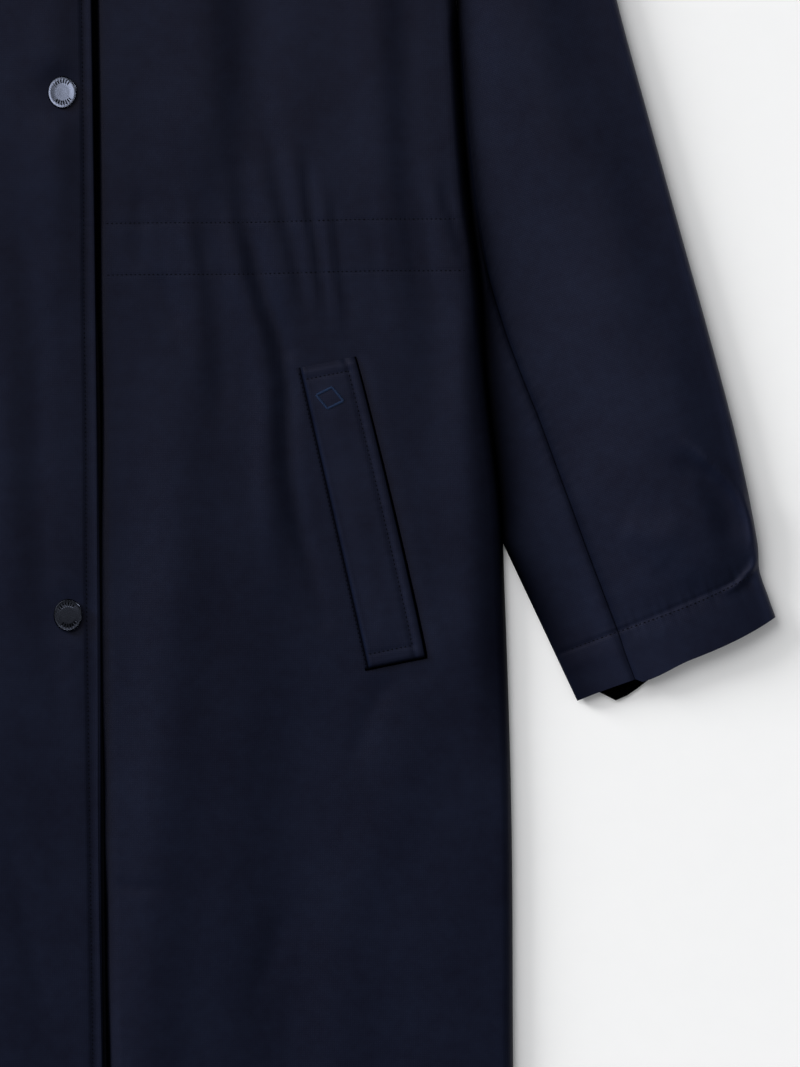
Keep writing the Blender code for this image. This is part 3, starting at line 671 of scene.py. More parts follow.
# %% What shapes the fronts
Corner = namedtuple("Corner", "x up")
WELT_TOP_IN, WELT_TOP_OUT = Corner(138.4, 568.1), Corner(173.6, 574.6)
WELT_LOW_OUT, WELT_LOW_IN = Corner(213.0, 393.6), Corner(176.6, 386.8)
FLAP_STEP = 1.0                # the cloth is pressed thinner from the topstitching to the edge
LEFT_RISE = 1.3                # the left front rises this much beside the flap
SNAP_LEVELS = (111.0, 422.2, 735.5, 938.0)
SNAP_CALM, SNAP_DIP = 16.0, 0.7    # how far a snap calms the cloth, and the dip round it
CASING_START = (24, 46)        # where the casing's rows start, on the left and the right front
WELT_CALM, UNDER_WELT = (18, 3), 0.12    # the folds' calm round a welt's middle line and ends
FLAP_CALM, FLAP_LIP = 0.35, 0.30    # share of the folds left at the flap's edge, and its full lip
FLAP_DITCH = 0.3               # depth of the hollow beside the flap, for each mm that is painted dark
FOLD_DEPTH, FOLD_RISE = 1.9, 4.0    # the deepest trough and highest fold of a layer


print("snaps, up from the hem:", *SNAP_LEVELS, "mm")

# %% Heights of the fronts
def calm_round_snaps(lift, x, up):
    """The snaps hold the two fronts together, so the cloth is flat and low round each."""
    for level in SNAP_LEVELS:
        away = np.hypot(x, up - level)
        lift = lift * (1 - 0.8 * bump(away, SNAP_CALM)) - SNAP_DIP * bump(away - 8, 7.0)
    return lift


def off_welt(x, up):
    """Share of the folds that is left: little under the pocket welt, and all away from it."""
    length = WELT_TOP_IN.up - WELT_LOW_IN.up
    t = (WELT_TOP_IN.up - up) / length
    top = (WELT_TOP_IN.x + WELT_TOP_OUT.x) / 2
    low = (WELT_LOW_IN.x + WELT_LOW_OUT.x) / 2
    beside = np.abs(x - top - np.clip(t, -0.2, 1.2) * (low - top)) - WELT_CALM[0]
    beyond = (np.abs(t - 0.5) - 0.5) * length - WELT_CALM[1]
    return at_least(UNDER_WELT, ease(np.maximum(beside, beyond) / 6))


def front_relief(x, up, right):
    """Folds, gathers and stitch grooves of a front."""
    seed, creases = (2.6, CREASES_RIGHT) if right else (0.7, CREASES_LEFT)
    soft = crease_height(creases, x, up) + gathers(x, up, seed) + drift(x, up, seed)
    deepest = -FOLD_DEPTH if right else -FOLD_DEPTH - LEFT_RISE
    lift = np.clip(soft, deepest, FOLD_RISE) * off_welt(x, up)
    reach = ramp(x, CASING_START[right], 6)
    for number, level in enumerate(CASING):
        lift = lift + sewn(CASING_ROW, x, up - level, seed + number) * reach
    lift = lift + sewn(HEM_ROW, x, up - HEM_STITCH, seed + 5)
    if right:
        inside = x + flap_edge(up)
        from_stitch = x + half_width(FLAP_STITCH, up)
        lift = lift * at_least(FLAP_CALM, ramp(inside, 4, 22))
        lift = calm_round_snaps(lift, x, up) + sewn(FLAP_ROW, up, from_stitch, seed)
        lift = lift + 0.15 * ease(from_stitch / 6) - FLAP_STEP * ease((2.4 - from_stitch) / 4.6)
        return lift + FLAP_LIP * bump(inside - 1.6, 1.8)
    lift = (lift + LEFT_RISE * fade(up, 880, 80)) * ramp(x, 12, 16)
    hollow = FLAP_DITCH * half_width(FLAP_GLOOM, up)
    return lift - hollow * bump(x - flap_edge(up) - 1.4, 2.0)


def front_height(x, up, right=False):
    """Height of a front's outer face, away from its rolled edges."""
    height = LEFT_TOP + front_relief(x, up, right)
    if right:
        height = height + FLAP_LIFT * fade(x, LAP_START, LAP_REACH)
    return height


sample = np.array([60.0]), np.array([300.0])
print("height of the left and the right front, 60 mm out and 300 mm up:",
      *(round(float(front_height(*sample, right)[0]), 1) for right in (False, True)), "mm")

# %% [markdown]
# ## From rows of points to a sheet
#
# A sheet has an outer face and an inner face, joined round the rim, so it is closed and has a
# true thickness. Its UV map is its own cut, in metres, so the weave keeps its size and turns
# with each piece. The mirrored piece is the same grid with its columns turned round.

# %% Faces of a sheet
WALL_SHOWN = 2.0      # a little under the solid's, so that a deep trough clears the back
EDGE_TOP = 0.7        # height of the lower layer's very edge


def border(grid):
    """The points round a grid's rim, in order."""
    return np.concatenate([grid[0, :-1], grid[:-1, -1], grid[-1, :0:-1], grid[:0:-1, 0]])


def grid_faces(rows, columns):
    """Faces of the outer grid, the inner grid and the rim between them."""
    back = rows * columns
    index = np.arange(back).reshape(rows, columns)
    corners = (index[:-1, :-1], index[:-1, 1:], index[1:, 1:], index[1:, :-1])
    outer = np.stack([corner.ravel() for corner in corners], axis=1)
    ring = border(index)
    following = np.roll(ring, -1)
    rim = np.stack([following, ring, ring + back, following + back], axis=1)
    return np.concatenate([outer, outer[:, ::-1] + back, rim])


print("faces of a sheet of 3 by 3 points:", len(grid_faces(3, 3)))

# %% One sheet
def make_sheet(name, outer, inner, cut, material, hollow=None):
    """A closed sheet of cloth from two grids in millimetres, with its cut as its UV map.

    hollow is painted shade: from 0 to 1, how much each outer point's colour is darkened
    where shade falls in a seam or gap; below 0 it is painted light.
    """
    rows, columns = outer.shape[:2]
    points = np.concatenate([outer.reshape(-1, 3), inner.reshape(-1, 3)]) * MM
    points[:, 1] += Y_OF_HEM
    faces = grid_faces(rows, columns)
    mesh = bpy.data.meshes.new(name)
    mesh.vertices.add(len(points))
    mesh.vertices.foreach_set("co", points.astype(np.float32).ravel())
    mesh.loops.add(faces.size)
    mesh.loops.foreach_set("vertex_index", faces.astype(np.int32).ravel())
    mesh.polygons.add(len(faces))
    mesh.polygons.foreach_set("loop_start", np.arange(0, faces.size, 4, dtype=np.int32))
    mesh.update(calc_edges=True)
    mesh.validate()
    uv = mesh.uv_layers.new(name="cut")
    where = np.concatenate([cut.reshape(-1, 2)] * 2) * MM
    uv.data.foreach_set("uv", where[faces.ravel()].astype(np.float32).ravel())
    dark = np.zeros((rows, columns)) if hollow is None else hollow
    # the painted shade and light, kept on the points of both faces
    shade = mesh.attributes.new("hollow", "FLOAT", "POINT")
    shade.data.foreach_set("value", np.concatenate([dark.ravel()] * 2).astype(np.float32))
    mesh.shade_smooth()
    mesh.set_sharp_from_angle(angle=math.radians(60))
    mesh.materials.append(material)
    print(f"{name}: {rows} x {columns} points, {len(mesh.polygons) * 2} triangles")
    return new_object(name, mesh)


print("a sheet's wall is", WALL_SHOWN, "mm thick")

# %% Dress a panel
def mirror(sheet):
    """The wearer's right piece from the left one: a grid of places, or of a cut."""
    flipped = sheet[:, ::-1].copy()
    flipped[..., 0] *= -1
    return flipped


def stack(x, up, z):
    """Places across, up and high as one grid of points."""
    return np.stack(np.broadcast_arrays(x, up, z), axis=-1).astype(float)


def cut_area(cut):
    """Area of a cut in square metres, from its outline."""
    x, y = border(cut * MM).T
    return abs(float((x * np.roll(y, -1) - y * np.roll(x, -1)).sum())) / 2


def dress(name, outer, inner, cut, hollow=None, material=shell_cloth):
    """Make one panel, hide its solid, and say what it is cut from."""
    piece = make_sheet(name + "_cloth", outer, inner, cut, material, hollow)
    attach(piece, "root")
    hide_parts(name)


def dress_pair(name, outer, inner, cut, hollow=None):
    """Make the wearer's left piece, and the right one as its mirror image."""
    dress(f"{name}_left", outer, inner, cut, hollow)
    dress(f"{name}_right", mirror(outer), mirror(inner), mirror(cut),
          None if hollow is None else hollow[:, ::-1])


square = stack(*np.meshgrid([0, 100], [0, 100]), 0)[..., :2]
print("area of a cut 100 mm square:", round(cut_area(square), 4), "square metres")

# %% [markdown]
# ## Fronts and back
#
# Rows of points run level up to the underarm. Above it they bend, so that the last row lies
# along the neckline and the shoulder seam. Columns crowd together at the rolled side edge and
# at the right front's turned edge, where the cloth turns quickly.

# %% Painted shade beside the sleeve, and layers of cloth
# painted shade: the colour beside the sleeve is darkened where the body and the sleeve shade each
# other
Shade = namedtuple("Shade", "dark start_up over")    # it comes in upwards from `start_up`
CRACK, SOFT_SHADE = Shade(0.93, 395, 90), Shade(0.55, 300, 110)
AT_ARMHOLE = 0.75                                     # share of both that is lost there
DARKEST = 0.97                                        # the darkest painted shade in any gap


def side_shade(up, from_side):
    """Painted shade beside the sleeve: a black crack, and a soft shade that narrows upwards."""
    beside = 1 - AT_ARMHOLE * ramp(up, 780, 60)
    crack_reach = 3.5 + 5 * ramp(up, 560, 50)
    crack = CRACK.dark * ramp(up, CRACK.start_up, CRACK.over) * fade(from_side, 0.5, crack_reach)
    reach = 26 - 18 * ramp(up, 420, 320)
    soft = SOFT_SHADE.dark * ramp(up, SOFT_SHADE.start_up, SOFT_SHADE.over)
    soft = soft * fade(from_side, 0.3 * reach, 0.7 * reach)
    return 1 - (1 - crack * beside) * (1 - soft * beside)


def roll_share(inside):
    """How full the rolled outline is, 0 at the edge and 1 inside it, on a quarter circle."""
    t = np.clip(inside / EDGE_ROLL, 0, 1)
    return np.sqrt(1 - (1 - t) ** 2)


def back_top(inside):
    """Upper face of a layer on the floor: it thins out at the rolled outline."""
    return EDGE_TOP + (WALL_SHOWN + 0.6 - EDGE_TOP) * roll_share(inside)


def rolled_layer(top, inside):
    """Outer and inner heights of an upper layer, rolled over at the outline."""
    edge = EDGE_TOP + SEAM + EDGE_WALL
    share = roll_share(inside)
    outer = edge + (top - edge) * share
    wall = EDGE_WALL + (WALL_SHOWN - EDGE_WALL) * share
    inner = np.maximum(back_top(inside) + SEAM, outer - wall)
    return outer, inner


print("height of the lower layer at its edge and inside it:", back_top(0.0), back_top(EDGE_ROLL))

# %% Plan of a body panel
BODY_STEP, BODY_SPAN = 3.1, 250    # between points, and the width that sets their number
ROLL_END = 30.0


def body_plan(edge, depth, step=BODY_STEP, edge_places=(0.0,), fine=()):
    """x, up, the distance inside the rolled outline and the painted shade beside the sleeve,
    for half a body panel.

    edge(up) is the panel's centre edge, and edge_places are its first columns from there.
    """
    start_x = edge(FRONT_NECK)
    edge_places = np.asarray(edge_places, float)
    rolled = roll_steps(EDGE_ROLL)[::-1]
    middle = np.linspace(0, 1, int((BODY_SPAN - edge_places[-1]) / step))[1:-1]

    def columns(start, side):
        inner_end, outer_end = start + edge_places[-1], side - EDGE_ROLL
        return np.concatenate([start + edge_places, inner_end + middle * (outer_end - inner_end),
                               side - rolled])

    tops = columns(start_x, TIP_HALF)
    top = panel_top(tops, depth)
    shares = np.concatenate([steps(0, 1 - EDGE_ROLL / YOKE_RISE, step / YOKE_RISE)[1:],
                             1 - roll_steps(EDGE_ROLL)[-2::-1] / YOKE_RISE])
    x, up, inside = [], [], []
    for level in steps(0, UNDERARM, step, fine):
        row = columns(edge(level), side_seam(level))
        x.append(row)
        up.append(np.full_like(row, level))
        inside.append(row[-1] - row)
    for share in shares:
        x.append(columns(start_x, armhole(UNDERARM + share * YOKE_RISE)))
        up.append(UNDERARM + share * (top - UNDERARM))
        inside.append(np.where(np.abs(tops) < NECK_HALF, EDGE_ROLL, (1 - share) * (top - UNDERARM)))
    x, up, inside = (np.array(part) for part in (x, up, inside))
    below = up[:, :1] <= UNDERARM    # the roll dies out below the armhole, where a seam takes over
    unrolled = EDGE_ROLL * ramp(up, UNDERARM - ROLL_END, ROLL_END)
    inside = np.where(below, inside + unrolled, inside)
    return x, up, inside, side_shade(up, x[:, -1:] - x)


print("points up and across half a panel:",
      *body_plan(lambda level: 0.0, NECK_POINT - BACK_NECK)[0].shape)

# %% The turned edge, and the painted light beside a welt
NOSE_REACH, NOSE_HALF = 1.0, 1.1     # the turned edge is an upright half ellipse
NOSE_TAIL = 5                        # and thins to the cloth's thickness over this distance


def turned_edge(outer, inner, places, height):
    """Round the right front's edge, where the cloth and its facing turn back on themselves."""
    for column, place in enumerate(places):
        near = min(place / NOSE_REACH, 1)
        rise = max(NOSE_HALF * math.sqrt(1 - (1 - near) ** 2), 0.08)
        middle = height[:, column] - NOSE_HALF
        if place < NOSE_REACH:
            outer[:, column, 2] = middle + rise
        if place < NOSE_REACH + NOSE_TAIL:
            thin = (2 * NOSE_HALF - WALL_SHOWN) * ramp(place, NOSE_REACH, NOSE_TAIL)
            inner[:, column, 2] = middle - min(rise, NOSE_HALF - thin)


EDGE_PLACES = np.concatenate([roll_steps(NOSE_REACH, 7), np.arange(1.15, 2.9, 0.2),
                              np.arange(3.2, 15.0, 0.8)])
UNDERLAP_PLACES = np.concatenate([np.arange(0, 34, 4.0), np.arange(34, 50, 1.0)])
FINE_ROWS = (HEM_STITCH, *CASING)
WELT_GLOW, WELT_GLOW_REACH = 0.3, 12.0    # painted light on the front just past the welt's outer edge


def welt_glow(x, up):
    """Painted light on a front beside the welt, over nearly all of the welt's length."""
    t = (WELT_TOP_OUT.up - up) / (WELT_TOP_OUT.up - WELT_LOW_OUT.up)
    beyond = x - WELT_TOP_OUT.x - t * (WELT_LOW_OUT.x - WELT_TOP_OUT.x)
    ends = ease((t + 0.02) / 0.05) * fade(t, 0.97, 0.05)
    return WELT_GLOW * (beyond > 0) * fade(beyond, 2, WELT_GLOW_REACH) * ends


print("columns across the turned edge:", len(EDGE_PLACES))

# %% Left front
def make_left_front():
    """The lower layer: it goes on under the flap, is painted dark beside it as painted shade,
    and is painted lighter beside the welt.
    """
    x, up, inside, shade = body_plan(lambda level: -UNDERLAP, NECK_POINT - FRONT_NECK,
                                     edge_places=UNDERLAP_PLACES, fine=FINE_ROWS)
    outer, inner = rolled_layer(front_height(x, up), inside)
    past_gloom = x - flap_edge(up) - half_width(FLAP_GLOOM, up)
    shade = np.maximum(shade, DARKEST * fade(past_gloom, -0.8, 1.7)) - welt_glow(x, up)
    dress("front_left", stack(x, up, outer), stack(x, up, inner), stack(x, up, 0)[..., :2],
          hollow=shade)


make_left_front()

# %% Right front
def make_right_front():
    """The upper layer, made as a left one and mirrored: its turned edge is the flap's."""
    x, up, inside, shade = body_plan(lambda level: -flap_edge(level), NECK_POINT - FRONT_NECK,
                                     edge_places=EDGE_PLACES, fine=FINE_ROWS)
    height = front_height(x, up, right=True)
    # painted shade: a dark line at the fold and the strip past it a little darker; painted light
    # beside the welt
    past_fold = half_width(FLAP_FOLD, up) - x - flap_edge(up)
    shade = np.maximum(shade, 0.8 * bump(past_fold, 0.30))
    shade = np.maximum(shade, 0.25 * (past_fold > 0)) - welt_glow(x, up)
    outer, inner = (stack(x, up, z) for z in rolled_layer(height, inside))
    turned_edge(outer, inner, EDGE_PLACES, height)
    dress("front_right", mirror(outer), mirror(inner), mirror(outer[..., :2]),
          hollow=shade[:, ::-1])


make_right_front()

# %% Facing
FACING_FROM = -14.0
FACING_REACH = [      # how far past the flap's edge it peeps out
    Level(0, 1.6), Level(251, 1.6), Level(323, 1.3), Level(371, 0.4), Level(455, 0.5),
    Level(539, 1.4), Level(575, 1.0), Level(630, -1.0), Level(FRONT_NECK, -1.0),
]


def make_facing():
    """The single cloth behind the right front's edge, which peeps out lower down."""
    levels = steps(2, FRONT_NECK - 4, 3.0)
    right = flap_edge(levels) + half_width(FACING_REACH, levels)
    share = np.concatenate([np.linspace(0, 0.94, 9), [0.97, 0.985, 0.995, 1.0]])
    x = FACING_FROM + (right[:, None] - FACING_FROM) * share
    up = np.repeat(levels[:, None], len(share), axis=1)
    nose = np.sqrt(1 - np.clip((share - 0.97) / 0.03, 0, 0.98) ** 2)
    middle = FACING_UNDERSIDE + FACING / 2
    outer = stack(x, up, middle + FACING / 2 * nose)
    inner = stack(x, up, middle - FACING / 2 * nose)
    # the facing's near-black colour is painted shade for the gap under the flap
    dress("facing_right", outer, inner, outer[..., :2], material=lining_and_painted_shade_cloth)


make_facing()

# %% Back
def under_layer(inside):
    """Heights of a layer that lies on the floor and lifts at the outline."""
    return np.zeros_like(inside), back_top(inside)


def make_back():
    """Both halves of the back in one grid, from a plan of the left one."""
    x, up, inside, _ = body_plan(lambda level: 0.0, NECK_POINT - BACK_NECK, step=6.0)
    halves = [stack(x, up, z) for z in under_layer(inside)]
    outer, inner = (np.concatenate([mirror(half)[:, :-1], half], axis=1)[:, ::-1]
                    for half in halves)
    dress("back", outer, inner, outer[..., :2])


make_back()

# %% [markdown]
# ## Sleeves
#
# A sleeve lies beside the body, flattened, with its front seam on the upper side. Each row of
# points is one section across it, from the inner edge to the outer edge. The `top` piece goes
# from the front seam over the outer edge and under; the `under` piece goes the other way. The
# two meet at the front seam, and again below.

# %% Table of the sleeve's sections
Section = namedtuple("Section", "inner_x inner_up outer_x outer_up bow seam crown")
SLEEVE = [
    Section(241.0, 795.0, 216.3, 1011.0, 27, 0.03, 0.0),
    Section(242.6, 772, 251, 995, 22, 0.03, 0.6),
    Section(243.4, 742, 281, 962, 16, 0.03, 1.6),
    Section(244.8, 700, 304, 912, 11, 0.03, 2.4),
    Section(247.6, 655, 321, 852, 7, 0.03, 2.7),
    Section(251.8, 615, 334, 787, 4, 0.05, 2.7),
    Section(253.6, 570, 352, 716, 1, 0.125, 2.7),
    Section(257.7, 523, 370, 647, 0, 0.20, 2.7),
    Section(261.4, 487, 386.5, 584, 0, 0.255, 2.7),
    Section(265.0, 452, 402, 521, 0, 0.296, 2.7),
    Section(279.4, 420, 413, 463, -2, 0.301, 2.6),
    Section(291.5, 393.5, 414.5, 443, -3.5, 0.30, 1.6),
    Section(297.0, 381, 419.5, 427, -3.8, 0.292, 1.8),
    Section(304.2, 365.8, 423.8, 414.4, -4, 0.285, 1.8),
]
SectionKey = namedtuple("SectionKey", ("key",) + Section._fields)
SECTION_ROWS = [SectionKey(float(key), *section) for key, section in enumerate(SLEEVE)]
print("sections down the sleeve:", len(SLEEVE))

# %% How the sleeve lies
CUFF_ROW, CUFF_BOW = 11.0, 1.0    # the section where the cuff's hem is sewn, and its bow
SECTION_RUN = 52.0             # from one section to the next, down the sleeve
HEM_ROWS = (len(SLEEVE) - 3, 2)     # where the slip and the drop of the hem begin, and their reach
HEAD_EASE = 0.35               # sections from the armhole over which the sleeve eases into it
HEM_SLIP, HEM_SLIP_SHARES = 8.5, (0.125, 0.17, 0.46)
HEM_DROP = 2.9                 # the outer piece hangs this far lower just past the front seam
SLEEVE_LIE = math.radians(18)  # how far the sleeve turns from the body's length
DOWN_SLEEVE = np.array([0.38, -0.92])    # the way its hem slips
FREE_EDGE, FREE_LEAN = Corner(265.4, 451.0), 0.452     # past the hem's corner it runs so
FRONT_SEAM, SEAM_LEAN = Corner(302.3, 481.7), 0.35     # the front seam is straight near the elbow
SIDE_GAP = -0.35               # the sleeve's tip leans a little over the body's rolled side
TUCK, TUCK_FROM, TUCK_REACH = 1.0, 5.0, 35.0    # it lies lower where the body presses on it
CROWN = 2.6                    # the cloth stands this many times fuller than the table's crown
CROWN_FROM, CROWN_TOP, CROWN_MOVES = 0.08, 0.50, 0.28    # its top moves outward down the sleeve
SEAM_DIP, SEAM_FULL = 0.8, 0.35    # depth at a seam, and the fullness beside it
AIR_MOST = 10.5                # the highest that the upper face stands above the lower one
RIM_GLOW = 1.0                 # painted light on the sleeve's outer edge, standing for the light that the floor throws back


def inner_edge(up):
    """The sleeve's inner edge: beside the body, then straight on past the hem's corner."""
    free = FREE_EDGE.x + FREE_LEAN * (FREE_EDGE.up - up)
    return np.where(up < UNDERARM, np.maximum(side_seam(up) + SIDE_GAP, free), armhole(up) + SEAM)


def section_at(place):
    """One section's values, with its inner edge beside the body and its seam kept straight."""
    at = {field: float(curve(SECTION_ROWS, "key", field, place)) for field in Section._fields}
    at["place"] = place
    beside = float(inner_edge(min(at["inner_up"], UNDERARM - 0.01)))
    at["inner_x"] += (beside - at["inner_x"]) * float(ease(place))
    wide, high = at["outer_x"] - at["inner_x"], at["outer_up"] - at["inner_up"]
    at["width"] = math.hypot(wide, high)
    seam_x = FRONT_SEAM.x - SEAM_LEAN * (at["inner_up"] - FRONT_SEAM.up)
    straight = (seam_x - at["inner_x"]) / (wide + SEAM_LEAN * high)
    near_elbow = float(ease((place - 7) / 0.3) * ease((10 - place) / 0.3))
    at["seam"] += (straight - at["seam"]) * near_elbow
    return at


HEAD = section_at(0.0)
print("sleeve's width at its head and at its cuff:", round(HEAD["width"]),
      round(section_at(CUFF_ROW)["width"]), "mm")

# %% Places and heights on the sleeve
def section_points(at, share):
    """Plan places on a section, from its inner edge (0) to its outer edge (1)."""
    share = np.asarray(share, float)[:, None]
    inner = np.array([at["inner_x"], at["inner_up"]])
    along = np.array([at["outer_x"], at["outer_up"]]) - inner
    across = np.array([-along[1], along[0]]) / np.hypot(*along)
    return inner + along * share + across * at["bow"] * 6.75 * share**2 * (1 - share)


def sleeve_points(at, share):
    """A section's places, eased into the armhole seam at the sleeve's head."""
    level = UNDERARM + np.asarray(share, float) * YOKE_RISE
    sewn = np.stack([armhole(level) + SEAM, level], axis=-1)
    near = max(0.0, 1 - at["place"] / HEAD_EASE)
    return section_points(at, share) + near * (sewn - section_points(HEAD, share))


def along_and_off(points, start, end):
    """Distances of points along a straight line and to its left."""
    run = (end - start) / np.hypot(*(end - start))
    from_start = points - start
    return from_start @ run, from_start @ np.array([-run[1], run[0]])


def sleeve_relief(points, at, share):
    """Creases, puckers and seam grooves of a sleeve's upper face."""
    x, up = points.T
    lift = crease_height(CREASES_SLEEVE, x, up) + drift(x, up, 4.4)
    along, away = along_and_off(points, *section_points(section_at(CUFF_ROW), [0.0, 1.0]))
    away = away + 4 * CUFF_BOW * share * (1 - share)
    lift = lift + sewn(CUFF_HEM_ROW, along, away, 1.9) + SEAM_FULL * bump(away + 9, 6.0)
    seam_away = (share - at["seam"]) * at["width"]
    lift = lift + pucker(at["place"] * SECTION_RUN, seam_away, 3.1, 0.16, 9.0)
    lift = lift + groove(seam_away, SEAM_DIP, 1.7) + SEAM_FULL * bump(np.abs(seam_away) - 5.0, 4.0)
    from_armhole = np.abs(x - armhole(up)) + (up < UNDERARM) * 40
    return lift + groove(from_armhole, SEAM_DIP, 3.0)


def sleeve_height(points, at, share):
    """Height of a sleeve's upper face, away from its rolled edges."""
    share = np.asarray(share, float)
    high = CROWN_TOP + CROWN_MOVES * float(ramp(at["place"], 3, 5))
    swell = ramp(share, CROWN_FROM, high - CROWN_FROM) - 0.42 * ramp(share, high, 1 - high)
    air = REST_GAP + CROWN * at["crown"] * swell + sleeve_relief(points, at, share)
    tuck = TUCK * fade(share * at["width"], TUCK_FROM, TUCK_REACH) * float(ease(at["place"] / 1.5))
    return np.maximum(2 * WALL_SHOWN + SEAM, 2 * WALL + np.clip(air, 0.0, AIR_MOST) - tuck)


HALF_WAY = section_at(len(SLEEVE) / 2)
crown = float(sleeve_height(sleeve_points(HALF_WAY, [0.6]), HALF_WAY, [0.6])[0])
print("height of the sleeve half way down:", round(crown, 1), "mm")

# %% Rows down the sleeve, and its hem
def even_places(step):
    """Places down the sleeve at even steps of its middle line."""
    fine = np.linspace(0, len(SLEEVE) - 1, 400)
    middle = np.array([section_points(section_at(place), [0.55])[0] for place in fine])
    run = np.concatenate([[0], np.cumsum(np.hypot(*np.diff(middle, axis=0).T))])
    cuff = float(np.interp(CUFF_ROW, fine, run))
    lengths = steps(0, run[-1], step, (cuff,), 5.0, 1.0)
    return np.interp(lengths, run, fine)


def hem_slip(place, share):
    """How far the under layer of the sleeve's hem has slipped out below the upper one."""
    start, most, end = HEM_SLIP_SHARES
    rise = ramp(share, start, most - start) * fade(share, most, end - most)
    return HEM_SLIP * rise * ramp(place, *HEM_ROWS)


def hem_drop(place, past_seam):
    """How far the outer piece's upper hem hangs lower, at a share past the front seam."""
    return HEM_DROP * ease(past_seam / 0.03) * fade(past_seam, 0.06, 0.22) * ramp(place, *HEM_ROWS)


sleeve_places = even_places(3.3)
print("rows down a sleeve:", len(sleeve_places))

# %% Painted shade and light on the sleeve
SEAM_LINE, SEAM_SOFT = 0.6, 0.40       # painted shade in the front seam, and just past it
TOP_GLOW, LOW_GLOW = 0.24, 0.1         # painted light on the crown, and more of it low down


def sleeve_shade(at, share, x, up):
    """Painted shade beside the body and in the front seam, and painted light on the middle and the
    rim.
    """
    place = at["place"]
    from_body = np.maximum(x - inner_edge(up), 0)
    reach = 6.5 + 7 * fade(up, 540, 220)
    beside = DARKEST * np.exp(-(from_body / reach) ** 1.5) * (1 - 0.5 * ramp(place, 9, 3))
    past_seam = (share - at["seam"]) * at["width"]
    seam = np.where(past_seam > 0, SEAM_SOFT * fade(past_seam, 0, 8), 0)
    seam = np.maximum(seam, SEAM_LINE * fade(np.abs(past_seam), 0.2, 1.1)) * ease(place - 3.5)
    seam = seam * (1 - 0.5 * ease(place - CUFF_ROW))
    low = float(ramp(place, 9, 1.5))
    glow = (TOP_GLOW + LOW_GLOW * low) * ramp(place, 4, 3) * bump(share - 0.5 + 0.14 * low, 0.26)
    tip = sleeve_points(at, [1.0])[0]
    from_tip = np.hypot(x - tip[0], up - tip[1])
    glow = glow + RIM_GLOW * fade(from_tip, 2.5, 6) * (share > 0.8)
    return np.minimum(DARKEST, 1 - (1 - beside) * (1 - seam) * (1 + glow))


edge_shade = sleeve_shade(HALF_WAY, np.zeros(1), *sleeve_points(HALF_WAY, [0.0]).T)
print("light lost at the sleeve's inner edge:", round(float(edge_shade[0]), 2))

# %% Shares of one row
NEAR_SEAM, SEAM_SPACE = (0.0, 0.8, 1.8, 3.2), 0.035    # places beside the seam, then a share
TOP_STEPS, SIDE_STEPS, BELOW_STEPS, TURN_STEPS = 46, 12, 9, 11


def row_shares(at, outer_side):
    """Shares across a section for one piece: its upper face, its edge, and its face below."""
    rolled, gap = EDGE_ROLL / at["width"], SEAM / at["width"] / 2
    seam = max(at["seam"], rolled + 0.012)
    near_seam = np.array(NEAR_SEAM) / at["width"]
    if outer_side:
        front = np.concatenate([seam + gap + near_seam,
                                np.linspace(seam + gap + SEAM_SPACE, 1 - rolled, TOP_STEPS)])
        return seam, front, 1.0, np.linspace(1 - rolled, 0.5 + gap, BELOW_STEPS)[1:]
    inward = min(SEAM_SPACE, (seam - rolled) * 0.9)
    front = np.concatenate([seam - gap - near_seam * min(1, inward * at["width"] / 5),
                            np.linspace(seam - gap - inward, rolled, SIDE_STEPS)])
    return seam, front, 0.0, np.linspace(rolled, 0.5 - gap, BELOW_STEPS)[1:]


print("shares of the under piece's upper face:",
      *(round(float(share), 2) for share in row_shares(HEAD, False)[1][::5]))

# %% One row round the sleeve
def sleeve_cut(outer, folded_at, outer_side):
    """Unfold a row of points: what is past `folded_at` is laid on beyond it."""
    beyond = np.cumsum(np.hypot(*np.diff(outer[folded_at:, [0, 2]], axis=0).T))
    cosine, sine = math.cos(SLEEVE_LIE), math.sin(SLEEVE_LIE)
    across = outer[:, 0] * cosine + outer[:, 1] * sine
    across[folded_at + 1:] = across[folded_at] + (1 if outer_side else -1) * beyond
    return np.column_stack([across, outer[:, 1] * cosine - outer[:, 0] * sine])


